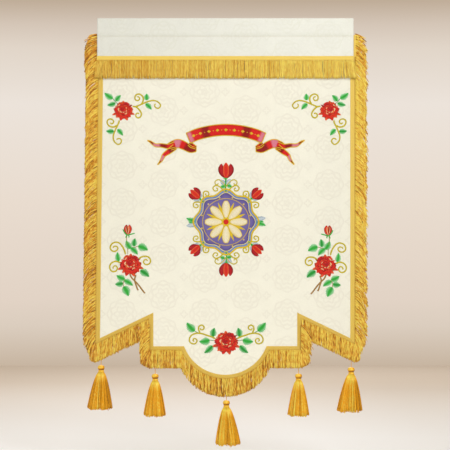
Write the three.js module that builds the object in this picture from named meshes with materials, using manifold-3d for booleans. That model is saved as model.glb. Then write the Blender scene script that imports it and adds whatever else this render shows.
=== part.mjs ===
// A church banner of cream damask, hanging flat from an empty pole sleeve along its top.
// Gold fringe on woven tape borders the sleeve's foot, both sides and the shaped lower edge.
// Five gold tassels hang on cords from the lower edge.
// Millimetres, +Z up, and the front faces -Y. The origin is the middle of the sleeve's top fold.
import * as THREE from "three";
import { mergeVertices } from "three/addons/utils/BufferGeometryUtils.js";
import Module from "manifold-3d";

const wasm = await Module();
wasm.setup();

// Driving dimensions of the cloth
const TOP_LEFT_X = -357;
const TOP_RIGHT_X = 366;
const HALF_WIDTH_FOOT = 366.5;
const CLOTH_TOP = -47;
const CLOTH_THICK = 2;
const TIP_Z = -920;
const NOTCH_X = 215;
const NOTCH_Z = -848;
const TAB_Z = -935;
const APRON_RADIUS = 136;
const APRON_CENTRE_Z = -879.5;

// The pole sleeve: one strip folded over at the top, its front leaf longer than its back leaf
const SLEEVE_HALF_WIDTH = 360;
const SLEEVE_THICK = 1.2;
const SLEEVE_FRONT_FOOT = -114;
const SLEEVE_BACK_FOOT = -64;
const POCKET_HALF_DEPTH = 4.8;
const POCKET_FOOT = -38;
const POCKET_CLOSED = -53;

// The fringe: woven tape and hanging locks
const TAPE_WIDTH = 14;
const TAPE_THICK = 1.2;
const LAYER_GAP = 0.5;
const TOP_TAPE_Z = -107;
const LOCK_LENGTH = 50;
const LOCK_THICK = 2.6;
const LOCK_FILL = 0.84;
const ROOT_DEPTH = 5;
const HANGING_PITCH = 16.5;
const SIDE_PITCH = 17.5;
const SIDE_REACH = { left: 33, right: 29 };
const SIDE_DROP = 38;
const TIP_ROOM = 17;

// The tassels, from left to right, each named by its place. Sizes of one: where its cord hangs,
// the top of its head, its whole height, the skirt's width at the foot and how far it swings aside
const TASSELS = [
  { place: "left_tip", x: -349, headTop: -975, height: 123, skirtWidth: 67, swing: -3.5 },
  { place: "left_tab", x: -197, headTop: -999, height: 118, skirtWidth: 58, swing: -1.5 },
  { place: "apron", x: 3, headTop: -1074, height: 125, skirtWidth: 67, swing: 4.5 },
  { place: "right_tab", x: 206, headTop: -999, height: 118, skirtWidth: 57, swing: -0.5 },
  { place: "right_tip", x: 354, headTop: -981, height: 124, skirtWidth: 68, swing: -4.5 },
];
const HEAD_HEIGHT = 16;
const HEAD_RADIUS = 9.2;
const NECK_RADIUS = 5.2;
const SKIRT_FLATNESS = 0.78;
const SKIRT_LOCKS = 12;
const CORE_LOCKS = 3;
const CORD_RADIUS = 1.1;
const CORD_HOLD = 16;

const cream = { color: 0xf4ecd8, roughness: 0.62, metalness: 0 };
const sleeveCream = { color: 0xebe8da, roughness: 0.64, metalness: 0 };
const gold = { color: 0xd9a940, roughness: 0.45, metalness: 0 };
const tasselGold = { color: 0xdf9f2a, roughness: 0.36, metalness: 0 };

const group = new THREE.Group();

// Adds one named piece to the banner.
function addPiece(name, geometry, finish) {
  const mesh = new THREE.Mesh(geometry, new THREE.MeshStandardMaterial(finish));
  mesh.name = name;
  group.add(mesh);
}

// 0 below low, 1 above high and a smooth rise between.
function rise(value, low, high) {
  return THREE.MathUtils.smoothstep(value, low, high);
}

// How far the hanging cloth stands behind its own plane: long soft waves that grow downwards,
// and lower points that turn a little forwards on the left and backwards on the right.
function hang(x, z) {
  const growth = 2.6 * rise(-z, 110, 700);
  const waves = 0.6 * Math.sin((2 * Math.PI * x) / 430 + 0.6) + 0.4 * Math.sin((2 * Math.PI * x) / 270 + 2.1);
  const pointTurn = 3 * rise(-z, 780, 940) * Math.sin((Math.PI * x) / (2 * HALF_WIDTH_FOOT));
  return growth * waves + pointTurn;
}

// The cloth's side edge, left or right, which runs a little outwards from the sleeve to the point.
function edgeX(side, z) {
  const top = side === "left" ? TOP_LEFT_X : TOP_RIGHT_X;
  const foot = side === "left" ? -HALF_WIDTH_FOOT : HALF_WIDTH_FOOT;
  return THREE.MathUtils.mapLinear(z, CLOTH_TOP, TIP_Z, top, foot);
}

// A box cut into steps and carried point by point to its place. Box coordinates run from -0.5 to 0.5.
function shaped(steps, place) {
  const box = new THREE.BoxGeometry(1, 1, 1, steps[0], steps[1], steps[2]);
  box.deleteAttribute("normal");
  box.deleteAttribute("uv");
  const merged = mergeVertices(box);
  const points = merged.getAttribute("position");
  for (let i = 0; i < points.count; i++) {
    const [x, y, z] = place(points.getX(i), points.getY(i), points.getZ(i));
    points.setXYZ(i, x, y, z);
  }
  return merged;
}

// A geometry as a manifold solid, and back again.
function solidOf(geometry) {
  const bare = geometry.clone();
  bare.deleteAttribute("normal");
  bare.deleteAttribute("uv");
  const merged = mergeVertices(bare, 1e-3);
  const vertProperties = new Float32Array(merged.getAttribute("position").array);
  const triVerts = new Uint32Array(merged.index.array);
  return new wasm.Manifold(new wasm.Mesh({ numProp: 3, vertProperties, triVerts }));
}

function geometryOf(solid) {
  const mesh = solid.getMesh();
  const geometry = new THREE.BufferGeometry();
  geometry.setAttribute("position", new THREE.BufferAttribute(mesh.vertProperties, 3));
  geometry.setIndex(new THREE.BufferAttribute(mesh.triVerts, 1));
  return geometry;
}

function fused(geometries) {
  return geometryOf(geometries.map(solidOf).reduce((whole, next) => whole.add(next)));
}

// The cloth's cut outline: sloping points at the sides, square tabs and a round apron in the middle.
function clothOutline() {
  const rim = Math.acos((TAB_Z - APRON_CENTRE_Z) / -APRON_RADIUS);
  const outline = new THREE.Shape();
  outline.moveTo(TOP_LEFT_X, CLOTH_TOP);
  outline.lineTo(-HALF_WIDTH_FOOT, TIP_Z);
  outline.lineTo(-NOTCH_X, NOTCH_Z);
  outline.lineTo(-NOTCH_X, TAB_Z);
  outline.absarc(0, APRON_CENTRE_Z, APRON_RADIUS, -Math.PI / 2 - rim, -Math.PI / 2 + rim, false);
  outline.lineTo(NOTCH_X, TAB_Z);
  outline.lineTo(NOTCH_X, NOTCH_Z);
  outline.lineTo(HALF_WIDTH_FOOT, TIP_Z);
  outline.lineTo(TOP_RIGHT_X, CLOTH_TOP);
  return outline;
}

// The panel: a waved slab trimmed to the outline.
function panel() {
  const sheetWidth = 2 * HALF_WIDTH_FOOT + 20;
  const rows = [CLOTH_TOP + 8, -130, -220, -310, -400, -490, -580, -670, -770];
  for (let z = -796; z > APRON_CENTRE_Z - APRON_RADIUS; z -= 30) rows.push(z);
  rows.push(APRON_CENTRE_Z - APRON_RADIUS - 8);
  const lastRow = rows.length - 1;
  const slab = shaped([24, 1, lastRow], (u, v, w) => {
    const x = u * sheetWidth;
    const z = rows[Math.round((0.5 - w) * lastRow)];
    return [x, hang(x, z) + v * CLOTH_THICK, z];
  });
  const cutterDepth = 60;
  const cutter = new THREE.ExtrudeGeometry(clothOutline(), {
    depth: cutterDepth,
    bevelEnabled: false,
    curveSegments: 14,
  });
  cutter.translate(0, 0, -cutterDepth / 2);
  cutter.rotateX(Math.PI / 2);
  return geometryOf(solidOf(slab).intersect(solidOf(cutter)));
}

// The middle of the sleeve's cloth, from the front leaf's foot over the fold to the back leaf's foot.
// Near the sides the front leaf stands further out, where it lies over the side fringe's tape.
function sleevePath(x) {
  const leaf = CLOTH_THICK / 2 + LAYER_GAP + SLEEVE_THICK / 2;
  const overTape = (TAPE_THICK + LAYER_GAP) * rise(Math.abs(x), 328, 343);
  const foldRadius = POCKET_HALF_DEPTH;
  const foldZ = -SLEEVE_THICK / 2 - foldRadius;
  const swell = 0.5 * Math.sin(x / 95) - 0.2;
  const front = leaf + overTape;
  const path = [
    [-front, SLEEVE_FRONT_FOOT],
    [-front, -84],
    [-front, POCKET_CLOSED],
    [-POCKET_HALF_DEPTH - swell, POCKET_FOOT],
    [-POCKET_HALF_DEPTH - swell, (POCKET_FOOT + foldZ) / 2],
  ];
  const foldSteps = 6;
  for (let i = 0; i <= foldSteps; i++) {
    const angle = Math.PI - (Math.PI * i) / foldSteps;
    path.push([foldRadius * Math.cos(angle), foldZ + foldRadius * Math.sin(angle)]);
  }
  path.push([POCKET_HALF_DEPTH, (POCKET_FOOT + foldZ) / 2]);
  path.push([POCKET_HALF_DEPTH, POCKET_FOOT]);
  path.push([leaf, POCKET_CLOSED]);
  path.push([leaf, SLEEVE_BACK_FOOT]);
  return path.map(([y, z]) => new THREE.Vector2(y, z));
}

// The point of a bent strip at one step of its path, moved sideways by its own thickness.
function besidePath(path, step, side) {
  const before = path[Math.max(step - 1, 0)];
  const after = path[Math.min(step + 1, path.length - 1)];
  const along = after.clone().sub(before).normalize();
  return path[step].clone().add(new THREE.Vector2(along.y, -along.x).multiplyScalar(side));
}

function sleeve() {
  const steps = sleevePath(0).length - 1;
  const half = [0, 55, 110, 165, 220, 275, 328, 343, SLEEVE_HALF_WIDTH];
  const across = [...half.slice(1).reverse().map((x) => -x), ...half];
  return shaped([across.length - 1, 1, steps], (u, v, w) => {
    const x = across[Math.round((u + 0.5) * (across.length - 1))];
    const step = Math.round((w + 0.5) * steps);
    const point = besidePath(sleevePath(x), step, v * SLEEVE_THICK);
    return [x, point.x, point.y];
  });
}

// Evenly spaced points along a chain of corners, keeping every corner.
function stepped(corners, spacing) {
  const points = [corners[0]];
  corners.slice(1).forEach((corner, i) => {
    const count = Math.max(1, Math.round(corners[i].distanceTo(corner) / spacing));
    for (let k = 1; k <= count; k++) points.push(corners[i].clone().lerp(corner, k / count));
  });
  return points;
}

// The same chain moved inwards by a width, with mitred corners. Inwards is left of the way it runs.
function movedIn(points, width) {
  const inward = (from, to) => {
    const way = to.clone().sub(from).normalize();
    return new THREE.Vector2(-way.y, way.x);
  };
  return points.map((point, i) => {
    const before = i > 0 ? inward(points[i - 1], point) : inward(point, points[i + 1]);
    const after = i < points.length - 1 ? inward(point, points[i + 1]) : before;
    const middle = before.clone().add(after).normalize();
    return point.clone().addScaledVector(middle, width / middle.dot(before));
  });
}

// The whole edge that carries the side and lower fringe, as three chains that meet at the points.
function fringeEdges() {
  const leftTop = new THREE.Vector2(TOP_LEFT_X, CLOTH_TOP);
  const leftTip = new THREE.Vector2(-HALF_WIDTH_FOOT, TIP_Z);
  const rightTop = new THREE.Vector2(TOP_RIGHT_X, CLOTH_TOP);
  const rightTip = new THREE.Vector2(HALF_WIDTH_FOOT, TIP_Z);
  const outline = clothOutline().getPoints(14);
  return {
    left: stepped([leftTop, leftTip], 36),
    lower: stepped(outline.slice(1, -1), 36),
    right: stepped([rightTip, rightTop], 36),
  };
}

// A tape on the face of the cloth, between an outer and an inner chain of points.
function tape(outer, inner, frontOf) {
  const steps = outer.length - 1;
  return shaped([steps, 1, 1], (u, v, w) => {
    const i = Math.round((u + 0.5) * steps);
    const point = outer[i].clone().lerp(inner[i], w + 0.5);
    return [point.x, frontOf(point.x, point.y) - TAPE_THICK / 2 + v * TAPE_THICK, point.y];
  });
}

// One lock of fringe. It starts inside the tape, leaves it at the root and ends at reach and drop.
// The way in is where the tape lies seen from the root, and forward is how far it stands out at its foot.
function lock({ root, wayIn, reach, drop, width, kneeWidth, tipWidth, frontY, forward, depth = ROOT_DEPTH }) {
  const start = root.clone().addScaledVector(wayIn, depth);
  const tip = root.clone().add(new THREE.Vector2(reach, -drop));
  const knee = root.clone().add(new THREE.Vector2(0.55 * reach, -0.34 * drop));
  const path = [start, root, knee, tip];
  const widths = [width, width, kneeWidth ?? width, tipWidth];
  const thick = [TAPE_THICK * 0.8, TAPE_THICK * 0.9, LOCK_THICK, LOCK_THICK * 0.85];
  const ahead = frontY - (LOCK_THICK - TAPE_THICK) / 2;
  const out = [frontY, frontY - 0.2 * forward, ahead - 0.8 * forward, ahead - forward];
  const steps = path.length - 1;
  return shaped([1, 1, steps], (u, v, w) => {
    const i = Math.round((0.5 - w) * steps);
    const point = besidePath(path, i, -u * widths[i]);
    return [point.x, out[i] + v * thick[i], point.y];
  });
}

// Where the tape's face stands on the panel, and the depth of the middle of a lock's root in it.
function tapeBack(x, z) {
  return hang(x, z) - CLOTH_THICK / 2 - LAYER_GAP;
}

// A side or lower fringe: its tape and locks at an even pitch, fused at their roots.
function edgeFringe(chain, ends, locks) {
  const outer = chain.map((point) => point.clone());
  const inner = movedIn(outer, TAPE_WIDTH);
  Object.entries(ends).forEach(([end, corner]) => {
    const i = end === "first" ? 0 : outer.length - 1;
    const next = end === "first" ? 1 : outer.length - 2;
    const back = outer[next].clone().sub(outer[i]).normalize().multiplyScalar(LAYER_GAP / 2);
    inner[i].copy(corner).add(back);
    outer[i].add(back);
  });
  return fused([tape(outer, inner, tapeBack), ...locks]);
}

// Locks of a side edge fan out and droop; towards the point they come to hang straight down.
function sideLocks(side) {
  const out = side === "left" ? -1 : 1;
  const span = CLOTH_TOP - TIP_Z - 14;
  const count = Math.round(span / SIDE_PITCH);
  const locks = [];
  for (let k = 0; k < count; k++) {
    const z = CLOTH_TOP - 5 - (span * (k + 0.5)) / count;
    const turn = rise(TIP_Z + 70 - z, 0, 66);
    const reach = THREE.MathUtils.lerp(SIDE_REACH[side], 17, turn);
    locks.push(
      lock({
        root: new THREE.Vector2(edgeX(side, z) + out * 0.3, z),
        wayIn: new THREE.Vector2(-out, 0),
        reach: out * reach,
        drop: THREE.MathUtils.lerp(SIDE_DROP, 45, turn),
        width: SIDE_PITCH * 0.7,
        kneeWidth: SIDE_PITCH * 0.42,
        tipWidth: SIDE_PITCH * 0.38,
        frontY: tapeBack(edgeX(side, z), z) - TAPE_THICK / 2,
        forward: 0.4,
      }),
    );
  }
  return locks;
}

// Locks of the lower edge hang straight down, and those of the tabs' upright sides droop over them.
// A narrow lock closes the row at each point, where the side tape leaves little room.
function lowerLocks() {
  const hanging = { wayIn: new THREE.Vector2(0, 1), reach: 0, drop: LOCK_LENGTH, forward: 0.3 };
  const span = HALF_WIDTH_FOOT - TIP_ROOM;
  const count = Math.round(span / HANGING_PITCH);
  const uprightSpan = NOTCH_Z - TAB_Z - 6;
  const uprightCount = Math.round(uprightSpan / SIDE_PITCH);
  const locks = [];
  const add = (x, z, sizes) => {
    const frontY = tapeBack(x, z) - TAPE_THICK / 2;
    locks.push(lock({ root: new THREE.Vector2(x, z), frontY, ...sizes }));
  };
  [-1, 1].forEach((side) => {
    for (let k = 0; k < count; k++) {
      const x = (side * span * (k + 0.5)) / count;
      add(x, lowerEdge(x), { ...hanging, width: HANGING_PITCH * LOCK_FILL, tipWidth: HANGING_PITCH * 0.76 });
    }
    const tipX = side * (HALF_WIDTH_FOOT - 10);
    add(tipX, lowerEdge(tipX), { ...hanging, width: 9.5, tipWidth: 12.5, depth: 2.6 });
    for (let k = 0; k < uprightCount; k++) {
      const z = NOTCH_Z - 6 - (uprightSpan * (k + 0.5)) / uprightCount;
      const low = rise(TAB_Z + 52 - z, 0, 50);
      add(side * (NOTCH_X + 0.3), z, {
        wayIn: new THREE.Vector2(-side, 0),
        reach: side * THREE.MathUtils.lerp(27, 15, low),
        drop: THREE.MathUtils.lerp(SIDE_DROP, 46, low),
        width: SIDE_PITCH * 0.7,
        kneeWidth: SIDE_PITCH * 0.42,
        tipWidth: SIDE_PITCH * 0.38,
        forward: 4.2,
      });
    }
  });
  return locks;
}

// The front of the sleeve's front leaf, where the upper fringe is sewn.
function leafFront(x) {
  return sleevePath(x)[0].x - SLEEVE_THICK / 2 - LAYER_GAP;
}

// The fringe over the sleeve's foot. Its outermost locks splay over the side fringe.
function topFringe() {
  const corners = [
    new THREE.Vector2(-SLEEVE_HALF_WIDTH, TOP_TAPE_Z - TAPE_WIDTH),
    new THREE.Vector2(-343, TOP_TAPE_Z - TAPE_WIDTH),
    new THREE.Vector2(-328, TOP_TAPE_Z - TAPE_WIDTH),
  ];
  const mirrored = corners.map((point) => new THREE.Vector2(-point.x, point.y)).reverse();
  const outer = [...corners.slice(0, 2), ...stepped([corners[2], mirrored[0]], 60), ...mirrored.slice(1)];
  const inner = outer.map((point) => new THREE.Vector2(point.x, TOP_TAPE_Z));
  const count = Math.round((2 * SLEEVE_HALF_WIDTH) / HANGING_PITCH);
  const locks = [];
  for (let k = 0; k < count; k++) {
    const x = SLEEVE_HALF_WIDTH * ((2 * (k + 0.5)) / count - 1);
    const splay = Math.sign(x) * rise(Math.abs(x), 320, 356);
    locks.push(
      lock({
        root: new THREE.Vector2(x, outer[0].y),
        wayIn: new THREE.Vector2(0, 1),
        reach: 7 * splay,
        drop: LOCK_LENGTH - 1,
        width: HANGING_PITCH * LOCK_FILL,
        tipWidth: HANGING_PITCH * 0.76,
        frontY: leafFront(x) - TAPE_THICK / 2,
        forward: 1.2,
      }),
    );
  }
  return fused([tape(outer, inner, leafFront), ...locks]);
}

// One lock of a tassel's skirt: a strand that leaves the neck and flares to the skirt's foot.
function skirtLock({ angle, neckZ, foot, footRadius, lockWidth, swing }) {
  const heights = [4, -0.12, -0.45, -1];
  const flare = [0.5, 0.34, 0.72, 1];
  const lengths = neckZ - foot;
  const steps = heights.length - 1;
  return shaped([1, 1, steps], (u, v, w) => {
    const i = Math.round((0.5 - w) * steps);
    const z = i === 0 ? neckZ + heights[0] : neckZ + heights[i] * lengths;
    const radius = i === 0 ? NECK_RADIUS * flare[0] : footRadius * flare[i] + v * 3.2;
    const share = i === 0 ? 0.3 : flare[i];
    const turned = angle - (u * lockWidth * share) / Math.max(radius, NECK_RADIUS);
    const aside = i === 0 ? 0 : -heights[i] * swing;
    const flat = i === 0 ? 1 : THREE.MathUtils.lerp(1, SKIRT_FLATNESS, flare[i]);
    return [radius * Math.cos(turned) + aside, radius * Math.sin(turned) * flat, z];
  });
}

// A tassel on its cord: the cord is held behind the cloth's edge and ends in the bound head.
function tassel({ x, headTop, height, skirtWidth, swing }) {
  const neckZ = -HEAD_HEIGHT;
  const profile = [
    [0, 0],
    [0.62, -0.04],
    [0.94, -0.26],
    [1, -0.5],
    [0.88, -0.74],
    [NECK_RADIUS / HEAD_RADIUS, -0.92],
    [0.66, -1.12],
    [0, -1.36],
  ];
  const outline = profile.map(([out, up]) => new THREE.Vector2(out * HEAD_RADIUS, up * HEAD_HEIGHT));
  const head = new THREE.LatheGeometry(outline.reverse(), 12);
  head.rotateX(Math.PI / 2);
  const parts = [head];
  const ring = (count, footRadius, turn, lockWidth) => {
    for (let k = 0; k < count; k++) {
      const angle = (2 * Math.PI * (k + turn)) / count;
      parts.push(skirtLock({ angle, neckZ, foot: -height, footRadius, lockWidth, swing }));
    }
  };
  const footRadius = skirtWidth / 2 - 1.6;
  ring(SKIRT_LOCKS, footRadius, 0.5, ((2 * Math.PI * footRadius) / SKIRT_LOCKS) * 0.86);
  ring(CORE_LOCKS, footRadius * 0.42, 0.2, 10);
  const held = lowerEdge(x) + CORD_HOLD - headTop;
  const cordPath = new THREE.LineCurve3(new THREE.Vector3(0, 0, held), new THREE.Vector3(0, 0, -2));
  const section = new THREE.Shape().absarc(0, 0, CORD_RADIUS, 0, 2 * Math.PI);
  parts.push(new THREE.ExtrudeGeometry(section, { steps: 1, curveSegments: 4, extrudePath: cordPath }));
  const whole = fused(parts);
  const behind = hang(x, lowerEdge(x) + CORD_HOLD / 2) + CLOTH_THICK / 2 + LAYER_GAP + CORD_RADIUS;
  return whole.translate(x, behind, headTop);
}

// The height of the cloth's lower edge at a tassel.
function lowerEdge(x) {
  const out = Math.abs(x);
  if (out > NOTCH_X) return THREE.MathUtils.mapLinear(out, HALF_WIDTH_FOOT, NOTCH_X, TIP_Z, NOTCH_Z);
  const round = APRON_CENTRE_Z - Math.sqrt(Math.max(APRON_RADIUS ** 2 - out ** 2, 0));
  return Math.min(TAB_Z, round);
}

const edges = fringeEdges();
const wholeChain = [...edges.left, ...edges.lower.slice(1), ...edges.right.slice(1)];
const wholeInner = movedIn(wholeChain, TAPE_WIDTH);
const leftCorner = wholeInner[edges.left.length - 1];
const rightCorner = wholeInner[edges.left.length + edges.lower.length - 2];

addPiece("panel", panel(), cream);
addPiece("sleeve", sleeve(), sleeveCream);
addPiece("fringe_top", topFringe(), gold);
addPiece("fringe_left", edgeFringe(edges.left, { last: leftCorner }, sideLocks("left")), gold);
addPiece("fringe_right", edgeFringe(edges.right, { first: rightCorner }, sideLocks("right")), gold);
addPiece(
  "fringe_lower",
  edgeFringe(edges.lower, { first: leftCorner, last: rightCorner }, lowerLocks()),
  gold,
);
TASSELS.forEach((sizes) => addPiece("tassel_" + sizes.place, tassel(sizes), tasselGold));

export default group;
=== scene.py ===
# A church banner of cream damask with gold fringe, gold tassels and silk embroidery.
# Lengths are in millimetres throughout and turn to metres when a mesh is made.
import math
import bmesh
import bpy
import numpy as np
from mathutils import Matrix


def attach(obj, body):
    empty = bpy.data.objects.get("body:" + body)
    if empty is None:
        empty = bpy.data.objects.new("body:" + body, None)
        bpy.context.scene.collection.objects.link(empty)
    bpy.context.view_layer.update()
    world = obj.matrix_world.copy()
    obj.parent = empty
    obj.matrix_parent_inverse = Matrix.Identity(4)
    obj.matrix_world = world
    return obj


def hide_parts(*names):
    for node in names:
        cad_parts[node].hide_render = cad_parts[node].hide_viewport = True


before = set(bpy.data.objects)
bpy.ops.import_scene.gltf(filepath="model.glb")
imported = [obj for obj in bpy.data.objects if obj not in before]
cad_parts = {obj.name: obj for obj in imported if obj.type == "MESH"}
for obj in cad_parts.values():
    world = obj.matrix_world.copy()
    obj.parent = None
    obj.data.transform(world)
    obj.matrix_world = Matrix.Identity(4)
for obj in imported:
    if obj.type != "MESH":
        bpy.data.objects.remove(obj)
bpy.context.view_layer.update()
scene = bpy.context.scene
scene.view_settings.view_transform = "Standard"

# Camera
view = {"mmPerPixel": 2.81, "pixels": 450, "middlePixel": 225.3, "topPixel": 18.0, "distance": 5000.0, "sensor": 36.0}
cameraData = bpy.data.cameras.new("camera")
cameraData.sensor_width = view["sensor"]
cameraData.lens = view["sensor"] * view["distance"] / (view["mmPerPixel"] * view["pixels"])
cameraData.clip_end = 60
camera = bpy.data.objects.new("camera", cameraData)
camera.location = (
    (view["pixels"] / 2 - view["middlePixel"]) * view["mmPerPixel"] / 1000,
    -view["distance"] / 1000,
    -(view["pixels"] / 2 - view["topPixel"]) * view["mmPerPixel"] / 1000,
)
camera.rotation_euler = (math.pi / 2, 0, 0)
scene.collection.objects.link(camera)
scene.camera = camera
print("camera set")


# Helpers
def linear(code):
    # sRGB hex to linear: c/12.92 below 0.04045, otherwise ((c + 0.055)/1.055) to the power 2.4
    parts = np.array([int(code[i:i + 2], 16) for i in (1, 3, 5)]) / 255
    return tuple(np.where(parts <= 0.04045, parts / 12.92, ((parts + 0.055) / 1.055) ** 2.4))


def smooth(value, low, high):
    # 0 below low, 1 above high, 3t^2 - 2t^3 between
    t = np.clip((np.asarray(value, float) - low) / (high - low), 0, 1)
    return t * t * (3 - 2 * t)


def mix(a, b, t):
    return a + (b - a) * t


def lengthAlong(points):
    # how far each point lies along its chain
    return np.concatenate([[0], np.cumsum(np.linalg.norm(np.diff(points, axis=0), axis=1))])


def normalsOf(points):
    # the left-hand normal at each point of a smooth line
    way = np.gradient(points, axis=0)
    way /= np.linalg.norm(way, axis=1, keepdims=True) + 1e-9
    return np.stack([-way[:, 1], way[:, 0]], 1)


def addNode(tree, kind, settings=None, **links):
    # one node with its settings by attribute name and its sockets by name or number
    node = tree.nodes.new(kind)
    for name, value in (settings or {}).items():
        setattr(node, name, value)
    for name, value in links.items():
        isNumber = name[0] == "n" and name[1:].isdigit()
        socket = node.inputs[int(name[1:]) if isNumber else name.replace("_", " ")]
        if isinstance(value, bpy.types.NodeSocket):
            tree.links.new(value, socket)
        else:
            socket.default_value = value
    return node


def calculator(tree):
    # one maths node per call, by the operation's name and its values
    def calc(operation, *values):
        sockets = {"n%d" % i: value for i, value in enumerate(values)}
        return addNode(tree, "ShaderNodeMath", {"operation": operation}, **sockets).outputs[0]

    return calc


def ranged(tree, value, low, high, start, end, kind="LINEAR"):
    # start at low and end at high, held beyond both
    settings = {"interpolation_type": kind}
    return addNode(tree, "ShaderNodeMapRange", settings, n0=value, n1=low, n2=high, n3=start, n4=end).outputs[0]


def noise(tree, place, scale, detail, roughness=0.5, dimensions="3D"):
    sockets = {"n0": place, "Scale": scale, "Detail": detail, "Roughness": roughness}
    return addNode(tree, "ShaderNodeTexNoise", {"noise_dimensions": dimensions}, **sockets).outputs[0]


def blended(tree, share, first, second):
    colours = {"n6": (*first, 1), "n7": (*second, 1)}
    return addNode(tree, "ShaderNodeMix", {"data_type": "RGBA"}, n0=share, **colours).outputs[2]


def scaled(tree, colour, share):
    return addNode(tree, "ShaderNodeVectorMath", {"operation": "SCALE"}, n0=colour, n3=share).outputs[0]


def attribute(tree, name, output):
    return addNode(tree, "ShaderNodeAttribute", {"attribute_name": name}).outputs[output]


def threadsOf(tree):
    # the threads' uv in millimetres, whole and as its two axes
    uv = addNode(tree, "ShaderNodeUVMap", {"uv_map": "threads"}).outputs[0]
    axes = addNode(tree, "ShaderNodeSeparateXYZ", n0=uv).outputs
    return uv, axes["X"], axes["Y"]


def dress(tree, surface, colour, height, strength, distance):
    # the pattern's colour and the relief of its threads
    tree.links.new(colour, surface.inputs["Base Color"])
    bump = addNode(tree, "ShaderNodeBump", n0=strength, Distance=distance, Height=height)
    tree.links.new(bump.outputs[0], surface.inputs["Normal"])


def newMaterial(name, **sockets):
    # a principled surface with fixed sockets, and its tree for patterns
    material = bpy.data.materials.new(name)
    material.use_nodes = True
    surface = material.node_tree.nodes["Principled BSDF"]
    for socket, value in sockets.items():
        surface.inputs[socket.replace("_", " ")].default_value = value
    return material, material.node_tree, surface


def colourRamp(tree, value, stops):
    # colours by a value from 0 to 1, from pairs of place and sRGB hex
    ramp = addNode(tree, "ShaderNodeValToRGB", n0=value)
    for place, _ in stops[1:-1]:
        ramp.color_ramp.elements.new(place)
    for element, (place, code) in zip(ramp.color_ramp.elements, stops):
        element.position = place
        element.color = (*linear(code), 1)
    return ramp.outputs[0]


def gridFaces(rows, columns, closedColumns=False):
    # quads between neighbours of a rows x columns grid of points, numbered row by row
    r, c = np.meshgrid(np.arange(rows - 1), np.arange(columns if closedColumns else columns - 1), indexing="ij")
    here, right = r * columns + c, r * columns + (c + 1) % columns
    return np.stack([here, right, right + columns, here + columns], -1).reshape(-1, 4)


def withPole(points, faces, uv, row, sides, turned):
    # closes one end ring of a grid with quads that meet in its middle
    ring = row * sides + np.arange(sides)
    middle = len(points)
    points = np.concatenate([points, points[ring].mean(0, keepdims=True)])
    uv = np.concatenate([uv, uv[ring].mean(0, keepdims=True)])
    start = np.arange(0, sides, 2)
    corners = [ring[start], ring[(start + 1) % sides], ring[(start + 2) % sides], np.full(len(start), middle)]
    cap = np.stack(corners, 1)
    return points, np.concatenate([faces, cap[:, ::-1] if turned else cap]), uv


def part(points, faces, uv=None, colour=None, tone=0.5, slot=0):
    # one bundle of points with its quads, uv, thread colour, tone and material number
    points = np.asarray(points, float).reshape(-1, 3)
    count = len(points)
    return {
        "points": points,
        "faces": np.asarray(faces, int),
        "uv": np.zeros((count, 2)) if uv is None else np.asarray(uv, float).reshape(-1, 2),
        "colour": np.ones((count, 3)) if colour is None else colour,
        "tone": np.broadcast_to(np.ravel(tone), (count,)),
        "slot": slot,
    }


def makePiece(name, parts, materials, finish, *replaced):
    # all parts joined in one mesh at the origin, with uv in millimetres and the colour and tone attributes
    def joined(key):
        return np.concatenate([p[key] for p in parts])

    offsets = np.cumsum([0] + [len(p["points"]) for p in parts])
    faces = np.concatenate([p["faces"] + offset for p, offset in zip(parts, offsets)])
    points = joined("points") / 1000
    mesh = bpy.data.meshes.new(name)
    mesh.vertices.add(len(points))
    mesh.vertices.foreach_set("co", points.astype(np.float32).ravel())
    mesh.loops.add(faces.size)
    mesh.loops.foreach_set("vertex_index", faces.astype(np.int32).ravel())
    mesh.polygons.add(len(faces))
    mesh.polygons.foreach_set("loop_start", np.arange(0, faces.size, 4, dtype=np.int32))
    slots = np.concatenate([np.full(len(p["faces"]), p["slot"]) for p in parts])
    mesh.polygons.foreach_set("material_index", slots.astype(np.int32))
    mesh.update(calc_edges=True)
    uv = joined("uv")[faces.ravel()]
    mesh.uv_layers.new(name="threads").data.foreach_set("uv", uv.astype(np.float32).ravel())
    colour = np.concatenate([joined("colour"), np.ones((len(points), 1))], 1)
    layer = mesh.color_attributes.new("threadColour", "FLOAT_COLOR", "POINT")
    layer.data.foreach_set("color", colour.astype(np.float32).ravel())
    mesh.attributes.new("tone", "FLOAT", "POINT").data.foreach_set("value", joined("tone").astype(np.float32))
    mesh.polygons.foreach_set("use_smooth", np.full(len(faces), True))
    mesh.validate()
    for material in materials:
        mesh.materials.append(material)
    piece = bpy.data.objects.new(name, mesh)
    scene.collection.objects.link(piece)
    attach(piece, "root")
    if replaced:
        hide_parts(*replaced)
    return piece


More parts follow.
